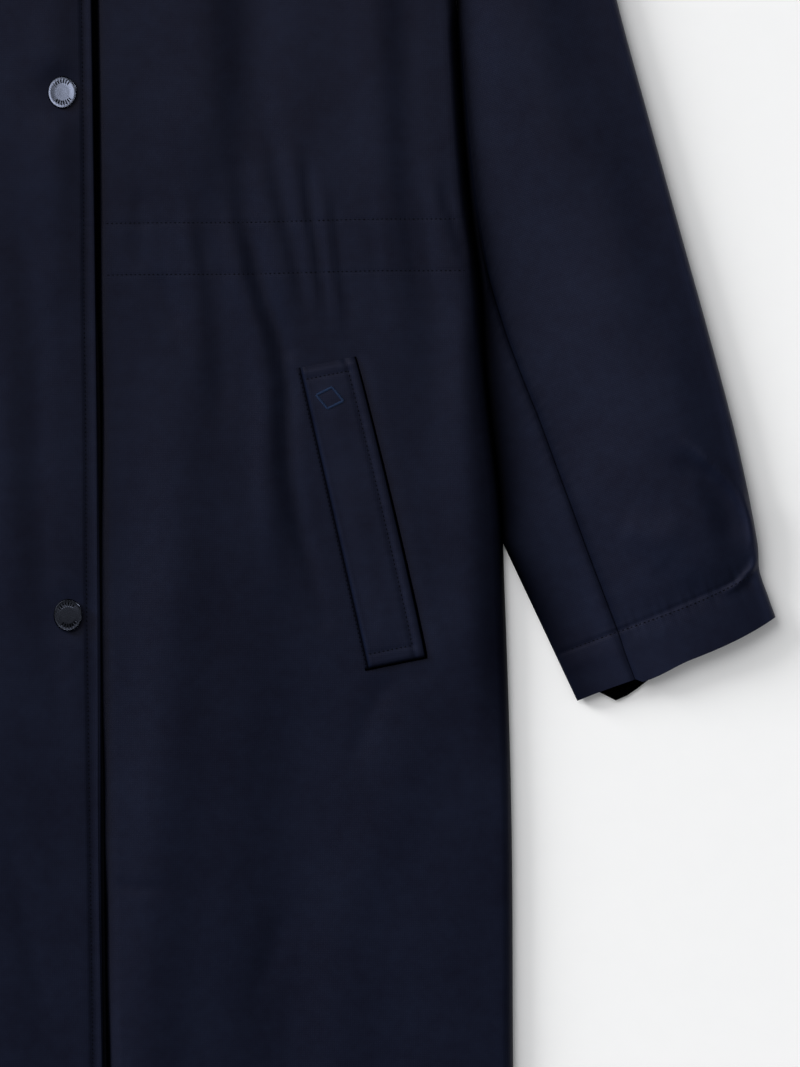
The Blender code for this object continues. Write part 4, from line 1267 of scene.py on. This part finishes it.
def sleeve_row(at, outer_side):
    """One section's points on the outer and inner faces, from the front seam round and under."""
    seam, front, edge, under = row_shares(at, outer_side)
    places = sleeve_points(at, front)
    if outer_side:
        places = places + DOWN_SLEEVE * hem_drop(at["place"], front - seam)[:, None]
    top = sleeve_height(places, at, front)
    last, tip = places[-1], sleeve_points(at, [edge])[0]
    reach = (tip - last) / np.hypot(*(tip - last))
    angles = np.radians(np.linspace(90, -90, TURN_STEPS))[1:, None]
    out, height = np.cos(angles), np.sin(angles)
    turn_outer = last + reach * EDGE_ROLL * out
    turn_inner = last + reach * (EDGE_ROLL - WALL_SHOWN) * out
    half = top[-1] / 2
    fold = crease_height(CREASES_SLEEVE, *turn_outer.T) - crease_height(CREASES_SLEEVE, *last)
    fold = fold[:, None] * np.clip(height, 0, 1)
    below = sleeve_points(at, under) + DOWN_SLEEVE * hem_slip(at["place"], under)[:, None]
    outer = np.concatenate([
        np.column_stack([places, top]),
        np.column_stack([turn_outer, half * (1 + height) + fold]),
        np.column_stack([below, np.zeros(len(below))])])
    inner = np.concatenate([
        np.column_stack([places, top - WALL_SHOWN]),
        np.column_stack([turn_inner, half + (half - WALL_SHOWN) * height + fold]),
        np.column_stack([below, np.full(len(below), WALL_SHOWN)])])
    share = np.concatenate([front, np.full(len(outer) - len(front), edge)])
    shade = sleeve_shade(at, share, outer[:, 0], outer[:, 1])
    painted_mouth_shade = float(ramp(at["place"], HEM_ROWS[0], 1.2))    # the inside of the under layer at the sleeve's mouth is painted dark: painted shade
    shade[-len(under):] = np.maximum(shade[-len(under):], DARKEST * painted_mouth_shade)
    return outer, inner, sleeve_cut(outer, len(front) - 1, outer_side), shade


print("points round one row:", *(len(sleeve_row(HALF_WAY, side)[0]) for side in (True, False)))

# %% Sleeve pieces
def make_sleeve_pieces(label, outer_side, places):
    """The top or the under piece of both sleeves, a row for each place."""
    rows = [sleeve_row(section_at(place), outer_side) for place in places[::-1]]
    parts = (np.array([row[part] for row in rows]) for part in range(4))
    outer, inner, cut, shade = (part if outer_side else part[:, ::-1] for part in parts)
    dress_pair(f"sleeve_{label}", outer, inner, cut, hollow=shade)


make_sleeve_pieces("top", True, sleeve_places)
make_sleeve_pieces("under", False, sleeve_places)

# %% [markdown]
# ## Hood
#
# The hood lies above the neckline, face up: a back on the floor, and two sides on it, whose
# front edges part to show the opening. A grid is stretched between four border lines: the
# opening, the outline, the neckline and the crown.

# %% Plan of the hood
Outline = namedtuple("Outline", "half_width up")
HOOD_EDGE = [
    Outline(NECK_HALF, NECK_POINT), Outline(103, 1078), Outline(120, 1128),
    Outline(124, 1190), Outline(113, 1250), Outline(86, 1302),
    Outline(48, 1333), Outline(0, HOOD_TOP),
]
FACE_OPENING, FACE_HALF = (990.0, 1300.0), 26.0
HOOD_STITCH, HOOD_HEM_FULL = 11.0, 0.6    # in from the opening, and the hem's fullness there
NECK_VALLEY = (0.8, 2.6)       # depth and reach of the valley along the neck seam
MEETING_DIP = 0.9              # the two sides turn down where they meet
OutlineKey = namedtuple("OutlineKey", "key half_width up")


def hood_outline(shares):
    """Points along the hood's edge, from the neck point (0) to the crown (1)."""
    places = np.array(HOOD_EDGE, float)
    run = np.concatenate([[0], np.cumsum(np.hypot(*np.diff(places, axis=0).T))])
    rows = [OutlineKey(key, *place) for key, place in zip(run / run[-1], places)]
    return np.stack([curve(rows, "key", name, shares) for name in ("half_width", "up")], axis=-1)


def hood_plan(along, across):
    """Places on a hood side, `along` up its opening and `across` to its outline."""
    outline = hood_outline(along)
    low, high = FACE_OPENING
    start_up = FRONT_NECK + NECK_SEAM
    opening_up = start_up + along * (high - start_up)
    part = np.clip((opening_up - low) / (high - low), 0, 1)
    opening = np.stack([SEAM / 2 + FACE_HALF * np.sin(np.pi * part) ** 2, opening_up], axis=-1)
    bottom_x = SEAM / 2 + across * (NECK_HALF - SEAM / 2)
    bottom = np.stack([bottom_x, neckline(bottom_x, NECK_POINT - FRONT_NECK) + NECK_SEAM], axis=-1)
    outline[:, 1] += NECK_SEAM * (1 - along)
    outline[:, 0] = np.maximum(outline[:, 0], SEAM / 2)
    top_up = high + across * (HOOD_TOP - high)
    top = np.stack([np.full_like(across, SEAM / 2), top_up], axis=-1)
    s, t = along[:, None, None], across[None, :, None]    # a Coons patch between the four
    plan = ((1 - t) * opening[:, None] + t * outline[:, None] + (1 - s) * bottom[None]
            + s * top[None] - (1 - s) * (1 - t) * bottom[0] - (1 - s) * t * bottom[-1]
            - s * (1 - t) * top[0] - s * t * top[-1])
    return plan[..., 0], plan[..., 1]


widest = float(hood_outline(np.linspace(0, 1, 50))[:, 0].max())
print("width of the hood:", round(2 * widest), "mm")

# %% Hood sides
def hood_height(x, up, from_opening):
    """Height of a hood side's outer face, away from its rolled outline."""
    lift = crease_height(CREASES_HOOD, x, up) + drift(x, up, 5.2)
    lift = lift + sewn(HOOD_ROW, up, from_opening - HOOD_STITCH, 2.2)
    lift = lift + HOOD_HEM_FULL * bump(from_opening - 5, 4.0)
    return LEFT_TOP + np.clip(lift, -FOLD_DEPTH, FOLD_RISE)


def make_hood_sides():
    """Two mirrored sides, lower along the neck seam and where they meet above the opening."""
    along = np.concatenate([[0, 0.003, 0.007], np.linspace(0.014, 0.985, 96), [0.992, 1.0]])
    across = np.concatenate([np.linspace(0, 0.05, 5)[:-1], np.linspace(0.05, 0.93, 30),
                             1 - roll_steps(0.07)[-2::-1]])
    x, up = hood_plan(along, across)
    width = np.hypot(x - x[:, -1:], up - up[:, -1:])
    from_opening = np.hypot(x - x[:, :1], up - up[:, :1])
    from_neck = np.hypot(x - x[:1], up - up[:1])
    height = hood_height(x, up, from_opening) + groove(from_neck, *NECK_VALLEY)
    height = height - MEETING_DIP * fade(from_opening, 0, 2.2) * ramp(up, 1000, 20)
    outer, inner = (stack(x, up, z) for z in rolled_layer(height, width))
    dress_pair("hood", outer, inner, outer[..., :2])


make_hood_sides()

# %% Hood back
DIP_ROWS = 18      # rows over which the neckline's curve straightens


def make_hood_back():
    """One piece from side to side, each row as wide as the hood is there."""
    rows = hood_outline(np.linspace(0, 0.94, 60))
    half = np.concatenate([np.linspace(0, 0.93, 14), 1 - roll_steps(0.07)[-2::-1]])
    share = np.concatenate([-half[::-1], half[1:]])
    reach, level = rows[:, :1], rows[:, 1:]
    x = share * reach
    dip = NECK_POINT - neckline(share * NECK_HALF, NECK_POINT - BACK_NECK)
    near_neck = np.clip(1 - np.arange(len(rows)) / DIP_ROWS, 0, 1)[:, None]
    up = level - dip * near_neck + NECK_SEAM
    outer, inner = (stack(x, up, z)[:, ::-1] for z in under_layer(reach - np.abs(x)))
    dress("hood_back", outer, inner, outer[..., :2], material=lining_and_painted_shade_cloth)


make_hood_back()

# %% [markdown]
# ## Pocket welts
#
# A welt is a narrow double band that closes a slanted pocket. Its inner edge is sewn down, so
# it sinks into the front there, and its outer edge is a soft fold. It is laid on the front by
# asking `front_height` under each of its points.

# %% Plan of a welt
WELT_THICK, WELT_BULGE = 2.0, 1.5    # its outer edge bends out a little
WELT_FOLD = 3.8                      # the outer edge is rounded over this distance
IN_ROW, OUT_ROW, TOP_ROW, LOW_ROW = 0.9, 6.7, 7.6, 8.6    # its stitches, in from the four edges
WELT_DITCH = 2.5                     # the fold's line beside the inner row
WELT_LIP = 0.3                       # its least height, at the edges
PAINTED_SHADOW_TOP, PAINTED_SHADOW_WIDENS = 0.5, 0.7   # the strip past the outer edge painted black, a painted shadow: its width at the top, and below


def welt_grid(share, rise):
    """Plan places on a welt: share across from its inner edge, and rise up from its bottom."""
    share, rise = np.broadcast_arrays(share, rise)
    low_in, top_in = np.array(WELT_LOW_IN), np.array(WELT_TOP_IN)
    low_out, top_out = np.array(WELT_LOW_OUT), np.array(WELT_TOP_OUT)
    r, s = rise[..., None], share[..., None]
    bulge = WELT_BULGE * np.sqrt(np.sin(math.pi * np.clip(r, 0.0, 1.0)))
    places = (low_in * (1 - r) + top_in * r) * (1 - s) + (low_out * (1 - r) + top_out * r) * s
    places = places + s * bulge * np.array([1.0, 0.0])
    return places[..., 0], places[..., 1]


def welt_distance(start, end):
    """Distance between two places on a welt, each (share, rise)."""
    (x, up), (end_x, end_up) = welt_grid(*start), welt_grid(*end)
    return float(np.hypot(end_x - x, end_up - up))


WELT_WIDTH = welt_distance((0, 0.5), (1, 0.5))
WELT_LENGTH = welt_distance((0.5, 0), (0.5, 1))
print(f"a welt is {WELT_WIDTH:.1f} mm wide and {WELT_LENGTH:.1f} mm long")

# %% Height and painted shade of a welt
def from_edges(share, rise):
    """Distances from a welt's inner edge, outer edge, top and bottom."""
    return (share * WELT_WIDTH, (1 - share) * WELT_WIDTH,
            (1 - rise) * WELT_LENGTH, rise * WELT_LENGTH)


def welt_height(share, rise, right):
    """Height of a welt's face, from the front below it."""
    x, up = welt_grid(share, rise)
    from_in, from_out, from_top, from_low = from_edges(share, rise)
    rounded = np.sqrt(1 - (1 - np.clip(from_out / WELT_FOLD, 0, 1)) ** 2)
    lift = WELT_THICK * at_least(0.3, ramp(from_in, WELT_DITCH - 0.8, 3.0))
    lift = lift * at_least(0.35, rounded)
    lift = lift * at_least(0.45, ease(from_top / 3.0)) * at_least(0.5, ease(from_low / 1.8))
    lift = lift + groove(from_in - WELT_DITCH, 0.45, 0.8)
    lift = lift + sewn(WELT_ROW, from_low, from_out - OUT_ROW, 1.3 + right)
    inside_box = ramp(from_in, 3, 3) * ramp(from_out, OUT_ROW - 2, 2)
    lift = lift + (groove(from_top - TOP_ROW, 0.2, 1.4)
                   + groove(from_low - LOW_ROW, 0.2, 1.4)) * inside_box
    middle = bump(from_in - 0.42 * WELT_WIDTH, 7.5) * ease(from_low / 22) * ease(from_top / 22)
    lift = lift + 0.35 * middle + 0.12 * bump(from_out - 3.2, 2.6)
    lift = lift + 0.15 * np.sin(from_low / 11 + 2 * right) * middle
    hem = (from_out < -0.1) | (from_low < -0.1)    # the strip painted black past the edge, a painted shadow, lies on the front
    return front_height(x, up, right) + SEAM + np.where(hem, 0.12, np.maximum(lift, WELT_LIP))


def welt_shade(share, rise):
    """Painted shade at a welt's outer and lower rim, in its ditch, at its top and in its outer row;
    painted light on its face.
    """
    from_in, from_out, from_top, from_low = from_edges(share, rise)
    rim = 0.98 * fade(np.minimum(from_out, from_low + 0.3), 0.1, 0.7)
    ditch = 0.85 * bump(from_in - WELT_DITCH + 0.4, 0.75)
    head = 0.35 * fade(from_top, 1.0, 2.5)
    row = 0.25 * bump(from_out - OUT_ROW, 1.1)
    shade = np.maximum(np.maximum(rim, ditch), np.maximum(head, row))
    # painted light: the face inside the ditch is lightened
    return shade - 0.16 * ramp(from_in, 5, 3) * (1 - shade)


middle = np.array(0.5), np.array(0.5)
print("height of a welt's middle above the front:",
      round(float(welt_height(*middle, False) - front_height(*welt_grid(*middle))), 1), "mm")

# %% Two welts
SIDES = (("left", False), ("right", True))    # the wearer's; the right one is made mirrored


def make_welt(label, right):
    """A welt with fine steps at its folds and rows, and a thin strip past its outer and lower
    edges painted black, a painted shadow.
    """
    across = steps(0, WELT_WIDTH, 1.0, (WELT_DITCH, WELT_WIDTH - 0.8), 1.2, 0.4)
    across = np.append(np.clip(across, 0, WELT_WIDTH), WELT_WIDTH + np.array([0.15, 0.5, 1.0]))
    upward = steps(0, WELT_LENGTH, 1.8, (LOW_ROW, WELT_LENGTH - TOP_ROW), 4.0, 0.8)
    upward = np.concatenate([[-0.9, -0.5, -0.15], np.clip(upward, 0, WELT_LENGTH)])
    share, rise = across[None, :] / WELT_WIDTH, upward[:, None] / WELT_LENGTH
    painted_mouth_shade = PAINTED_SHADOW_TOP + PAINTED_SHADOW_WIDENS * np.clip(1 - rise, 0, 1) ** 0.7
    x, up = welt_grid(share + np.maximum(share - 1, 0) * (painted_mouth_shade - 1), rise)
    outer = stack(x, up, welt_height(share, rise, right))
    inner = stack(x, up, front_height(x, up, right) + SEAM * 0.7)
    shade = welt_shade(share, rise)
    if right:
        outer, inner, shade = mirror(outer), mirror(inner), shade[:, ::-1]
    dress(f"welt_{label}", outer, inner, outer[..., :2], shade)


for label, right in SIDES:
    make_welt(label, right)

# %% [markdown]
# ## Stitches
#
# Every stitch is a tiny rounded cord that dips into the cloth at both ends. One function walks
# along a line, asks how high the cloth is, and lays a copy at each step. All the stitches of a
# line are one mesh.

# %% One stitch
Cord = namedtuple("Cord", "length radius dip lift")    # dip of its ends, and lift of its middle
STITCH, STITCH_STEP = Cord(1.5, 0.30, 0.22, 0.06), 2.7
CORD_SIDES = 6
CORD_RINGS = ((-0.36, 0.8, 0.35), (0.0, 1.0, 0.0), (0.36, 0.8, 0.35))    # place, width and dip


def along_line(line, step):
    """Places every `step` along a line, and the direction there."""
    line = np.asarray(line, float)
    total = np.concatenate([[0], np.cumsum(np.hypot(*np.diff(line, axis=0).T))])

    def place_at(at):
        return np.stack([np.interp(at, total, line[:, axis]) for axis in (0, 1)], axis=-1)

    at = np.arange(step / 2, total[-1], step)
    ahead = place_at(at + 0.5) - place_at(at - 0.5)
    return place_at(at), ahead / np.hypot(*ahead.T)[:, None]


def cord_points(cord, centre, ahead):
    """Points of one stitch: a tip, three rings of six, and the other tip."""
    side = np.array([-ahead[1], ahead[0], 0.0])
    ahead = np.array([ahead[0], ahead[1], 0.0])
    centre = np.array(centre) + (0, 0, cord.lift)
    tips = [centre + ahead * end * cord.length / 2 - (0, 0, cord.dip) for end in (-1, 1)]
    points = [tips[0]]
    for t, width, drop in CORD_RINGS:
        for k in range(CORD_SIDES):
            angle, radius = math.tau * k / CORD_SIDES, cord.radius * width
            points.append(centre + ahead * t * cord.length + side * radius * math.cos(angle)
                          + (0, 0, radius * math.sin(angle) - drop * cord.dip))
    return points + [tips[1]]


def cord_faces(base):
    """Faces of one stitch, whose points start at number `base`."""
    first, last = base, base + 1 + 3 * CORD_SIDES
    faces = []
    for k in range(CORD_SIDES):
        following = (k + 1) % CORD_SIDES
        ring = [(base + 1 + r * CORD_SIDES + k, base + 1 + r * CORD_SIDES + following)
                for r in range(3)]
        faces.append((first, ring[0][1], ring[0][0]))
        faces += [(a, b, d, c) for (a, b), (c, d) in zip(ring, ring[1:])]
        faces.append((last, ring[2][0], ring[2][1]))
    return faces


print("faces of one stitch:", len(cord_faces(0)))

# %% Rows of stitches
def make_threads(name, stitches, flip, cord=STITCH, material=seam_thread):
    """One mesh from many stitches, each ((x, up, z), direction); flip puts them on the right."""
    turn = np.array([-1 if flip else 1, 1, 1])
    points, faces = [], []
    for centre, ahead in stitches:
        faces += cord_faces(len(points))
        points += cord_points(cord, centre * turn, ahead * turn[:2])
    points = np.array(points) * MM
    points[:, 1] += Y_OF_HEM
    mesh = bpy.data.meshes.new(name)
    mesh.from_pydata(points.tolist(), [], faces)
    mesh.shade_smooth()
    mesh.materials.append(material)
    piece = new_object(name, mesh)
    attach(piece, "root")
    print(f"{name}: {len(stitches)} stitches")


def sew(name, line, height_at, flip):
    """A row of stitches along a line on the cloth."""
    places, ahead = along_line(line, STITCH_STEP)
    centres = np.column_stack([places, height_at(*places.T)])
    make_threads(name, list(zip(centres, ahead)), flip)


print("a stitch is", STITCH.length, "mm long, and one comes every", STITCH_STEP, "mm")

# %% Rows of stitches on the fronts
ROW_STARTS = {"casing_low": (25.0, 48.0), "casing_high": (25.0, 48.0), "hem": (25.0, -6.0)}


def front_line(row, start_x, wobble=0.35):
    """A level row across a front, from near the edge to near the side seam."""
    x = np.linspace(start_x, float(side_seam(row)) - 9, 60)
    return np.column_stack([x, row + wobble * np.sin(x / 23)])


def sew_front(label, right):
    """The casing's two rows and the hem's row, on one front."""

    def on_front(x, up):
        return front_height(x, up, right)

    for name, row in (("casing_low", CASING[0]), ("casing_high", CASING[1]), ("hem", HEM_STITCH)):
        start = ROW_STARTS[name][right]
        sew(f"{name}_stitch_{label}", front_line(row, start), on_front, right)


flap_levels = np.linspace(4, FRONT_NECK - 3, 200)
flap_line = np.column_stack([-half_width(FLAP_STITCH, flap_levels), flap_levels])
sew("flap_topstitch", flap_line, lambda x, up: front_height(x, up, True), flip=True)
for label, right in SIDES:
    sew_front(label, right)

# %% Rows of stitches on the welts
def sew_welt(label, right):
    """Four rows on one welt: along its inner edge, along its outer one, and across both ends."""
    low, top = LOW_ROW, WELT_LENGTH - TOP_ROW
    near, far = IN_ROW, WELT_WIDTH - OUT_ROW
    stitches = []
    for ends in (((near, 2), (near, WELT_LENGTH - 2)), ((far, low), (far, top)),
                 ((near + 3, low), (far - 1, low)), ((near + 3, top), (far - 1, top))):
        places, ahead = along_line(np.linspace(*ends, 60), STITCH_STEP)
        share, rise = (places / (WELT_WIDTH, WELT_LENGTH)).T
        further = ahead * (0.01, 0.002)
        place = np.stack(welt_grid(share, rise), axis=-1)
        run = np.stack(welt_grid(share + further[:, 0], rise + further[:, 1]), axis=-1) - place
        run = run / np.hypot(*run.T)[:, None]
        stitches += zip(np.column_stack([place, welt_height(share, rise, right)]), run)
    make_threads(f"welt_stitch_{label}", stitches, right)


for label, right in SIDES:
    sew_welt(label, right)

# %% Rows of stitches on the cuffs and the hood's opening
def sew_cuff(label, flip):
    """The row that holds the cuff's hem."""
    cuff, shares = section_at(CUFF_ROW), np.linspace(0.05, 0.955, 80)
    line = section_points(cuff, shares)

    def on_sleeve(x, up):
        return sleeve_height(np.column_stack([x, up]), cuff, np.interp(x, line[:, 0], shares))

    sew(f"cuff_stitch_{label}", line, on_sleeve, flip)


def sew_hood(label, flip):
    """The row along one side of the hood's opening."""
    x, up = hood_plan(np.linspace(0.04, 0.9, 120), np.array([0.0, HOOD_STITCH / 100, 1.0]))
    edge, inward = (np.column_stack([x[:, place], up[:, place]]) for place in (0, 1))
    reach = np.hypot(*(inward - edge).T)[:, None]
    line = edge + (inward - edge) / reach * HOOD_STITCH

    def on_hood(px, pup):
        return hood_height(px, pup, np.full_like(px, HOOD_STITCH))

    sew(f"hood_stitch_{label}", line, on_hood, flip)


for label, right in SIDES:
    sew_cuff(label, right)
    sew_hood(label, right)

# %% [markdown]
# ## Embroidered diamond
#
# A small plain diamond is worked in satin stitch near the top of the left welt: short threads
# side by side across each of its four bars.

# %% Diamond
MOTIF_PLACE, MOTIF_HALF, MOTIF_TURN = (158.3, 549.9), (8.3, 6.6), math.radians(-13)
SATIN, SATIN_STEP = Cord(1.9, 0.26, 0.26, 0.12), 0.42
SATIN_SLANT = 0.25             # the threads lean a little along their bar
MOTIF_LEAN = 0.21              # how far the welt's rows drop from its inner to its outer edge


def make_motif():
    """The diamond's four bars, in short threads laid on the welt's face."""
    turn = np.array([[math.cos(MOTIF_TURN), -math.sin(MOTIF_TURN)],
                     [math.sin(MOTIF_TURN), math.cos(MOTIF_TURN)]])
    wide, tall = MOTIF_HALF
    corners = np.array([(wide, 0), (0, tall), (-wide, 0), (0, -tall), (wide, 0)], float)
    corners = corners @ turn.T + MOTIF_PLACE
    low, top = np.array(WELT_LOW_IN), np.array(WELT_TOP_IN)
    stitches = []
    for start, end in zip(corners, corners[1:]):
        for (x, up), run in zip(*along_line([start, end], SATIN_STEP)):
            rise = (up - low[1]) / (top[1] - low[1])
            rise -= (x - (low[0] + rise * (top[0] - low[0]))) * MOTIF_LEAN / WELT_LENGTH
            left, right = welt_grid(0.0, rise)[0], welt_grid(1.0, rise)[0]
            share = np.array((x - left) / (right - left))
            z = float(welt_height(share, np.array(rise), False))
            across = np.array([-run[1], run[0]]) + SATIN_SLANT * run
            stitches.append((np.array([x, up, z]), across / np.hypot(*across)))
    make_threads("motif_satin", stitches, False, SATIN, motif_thread)


make_motif()

# %% [markdown]
# ## Snap caps
#
# The cap of a press stud is a stamped disc, a little oval: a rolled rim, a domed face and two
# arcs of even ticks, sunk, with painted shade in them. It is made once from a cylinder, by
# insetting its top face again and again and moving each new face up or down, and then copied to its
# places.

# %% Stamping tools
SNAP_WIDE, SNAP_TALL, SNAP_SIDES = 8.7, 9.7, 96    # half sizes
CAP_WALL, CAP_BEVEL = 1.5, 0.10
CAP_STEPS = ((0.35, 0.36), (0.35, 0.16), (0.25, -0.05), (1.25, 0.06), (2.0, 0.07), (0.8, 0.02),
             (0.25, -0.003), (2.6, 0.035))    # inset, then rise, from the rim to the middle
TICK_RING = 4                                 # which of those steps makes the ring of ticks
TICK_EVERY, TICK_SIDES = 4, 2                 # two sides of every four are a tick
# TICK_INSET, TICK_SINK, and the painted shade that darkens the sunk ticks
TICK_INSET, TICK_SINK, TICK_PAINTED_SHADE = 0.05, 0.10, 0.95
TICK_ARC = 0.68                               # ticks lie where the sine of their turn is more


def push_faces(mesh, chosen, inset, rise):
    """Inset the faces that `chosen` picks, and move the new ones up."""
    for polygon in mesh.polygons:
        polygon.select = chosen(polygon)
    for part in (mesh.edges, mesh.vertices):
        part.foreach_set("select", [False] * len(part))
    bpy.ops.object.mode_set(mode="EDIT")
    bpy.ops.mesh.select_mode(type="FACE")
    bpy.ops.mesh.inset(thickness=inset * MM)
    bpy.ops.transform.translate(value=(0, 0, rise * MM))
    bpy.ops.object.mode_set(mode="OBJECT")


def highest_middle(mesh):
    """The one face at the centre of the top."""
    middles = [p for p in mesh.polygons if p.normal.z > 0.5 and p.center.xy.length < 0.1 * MM]
    return max(middles, key=lambda p: p.center.z).index


def is_tick(polygon):
    """Whether a face of the tick ring is one of the marks in the upper or lower arc."""
    outside = SNAP_TALL - sum(inset for inset, _ in CAP_STEPS[:TICK_RING])
    ring_middle = (outside - CAP_STEPS[TICK_RING][0] / 2) * MM
    place = polygon.center
    side = int(math.atan2(place.y, place.x) / math.tau * SNAP_SIDES // 1)
    on_ring = abs(place.xy.length - ring_middle) < 0.3 * MM and place.z > CAP_WALL * MM
    return on_ring and abs(place.y) > TICK_ARC * place.xy.length and side % TICK_EVERY < TICK_SIDES


print("a snap cap is", 2 * SNAP_WIDE, "mm wide and", 2 * SNAP_TALL, "mm tall")

# %% One snap cap
def make_cap():
    """Stamp the rim and the dome step by step, sink the ticks, and round every edge a little."""
    bpy.ops.object.select_all(action="DESELECT")
    bpy.ops.mesh.primitive_cylinder_add(vertices=SNAP_SIDES, radius=SNAP_TALL * MM,
                                        depth=CAP_WALL * MM, location=(0, 0, CAP_WALL / 2 * MM))
    cap = bpy.context.object
    bpy.ops.object.transform_apply(location=True, rotation=True, scale=True)
    mesh = cap.data
    for inset, rise in CAP_STEPS:
        middle = highest_middle(mesh)
        push_faces(mesh, lambda polygon: polygon.index == middle, inset, rise)
    push_faces(mesh, is_tick, TICK_INSET, -TICK_SINK)
    # painted shade in the sunk ticks darkens their colour
    hollow = mesh.attributes.new("hollow", "FLOAT", "FACE")
    hollow.data.foreach_set("value", [TICK_PAINTED_SHADE * polygon.select for polygon in mesh.polygons])
    bevel = cap.modifiers.new("bevel", "BEVEL")
    bevel.width, bevel.segments, bevel.limit_method = CAP_BEVEL * MM, 2, "ANGLE"
    bevel.angle_limit = math.radians(35)
    bpy.ops.object.modifier_apply(modifier=bevel.name)
    mesh.shade_smooth()
    mesh.set_sharp_from_angle(angle=math.radians(40))
    mesh.materials.clear()
    mesh.materials.append(snap_metal)
    print("snap cap:", len(mesh.polygons), "faces, height",
          round(max(v.co.z for v in mesh.vertices) / MM, 2), "mm")
    return cap


snap_cap = make_cap()

# %% Four snap caps
SNAP_SEAT = LEFT_TOP + FLAP_LIFT + SEAM
SNAP_TURNS = (3.0, 8.0, 4.0, -2.0)
SNAP_SHIFTS = (0.2, -0.6, 0.8, -0.2)     # none was set exactly on the centre front
TO_SUN = np.array([-0.84, 0.54])
RIM_PAINTED_SHADE, RIM_LEAN = 0.93, 0.2           # painted shade on the sunward rim; only faces that lean more than this are the rim


def paint_rim_shade(mesh):
    """Paint shade on the rim where it leans to the suns, darkening its colour, so that only its far
    side glints.
    """
    normals = np.array([polygon.normal for polygon in mesh.polygons])
    lean = np.hypot(*normals.T[:2])
    facing = normals[:, :2] @ TO_SUN / np.maximum(lean, 0.01)
    painted_rim_shade = RIM_PAINTED_SHADE * ramp(facing, -0.3, 0.5) * (lean > RIM_LEAN)
    hollow = mesh.attributes["hollow"].data
    for value, more in zip(hollow, painted_rim_shade):
        value.value = max(value.value, more)


def place_caps(cap):
    """Copy the cap to its four places, each turned and shifted a little, as by hand."""
    oval = Matrix.Diagonal((SNAP_WIDE / SNAP_TALL, 1, 1, 1))
    places = zip(SNAP_LEVELS, SNAP_TURNS, SNAP_SHIFTS)
    for number, (level, turn, shift) in enumerate(places, start=1):
        mesh = cap.data.copy()
        seat = Matrix.Translation((shift * MM, level * MM + Y_OF_HEM, SNAP_SEAT * MM))
        mesh.transform(seat @ oval @ Matrix.Rotation(math.radians(turn), 4, "Z"))
        paint_rim_shade(mesh)
        piece = new_object(f"snap_cap_{number}", mesh)
        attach(piece, "root")
        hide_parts(f"snap_{number}")
    bpy.data.objects.remove(cap, do_unlink=True)
    print("snap caps:", len(SNAP_LEVELS))


place_caps(snap_cap)
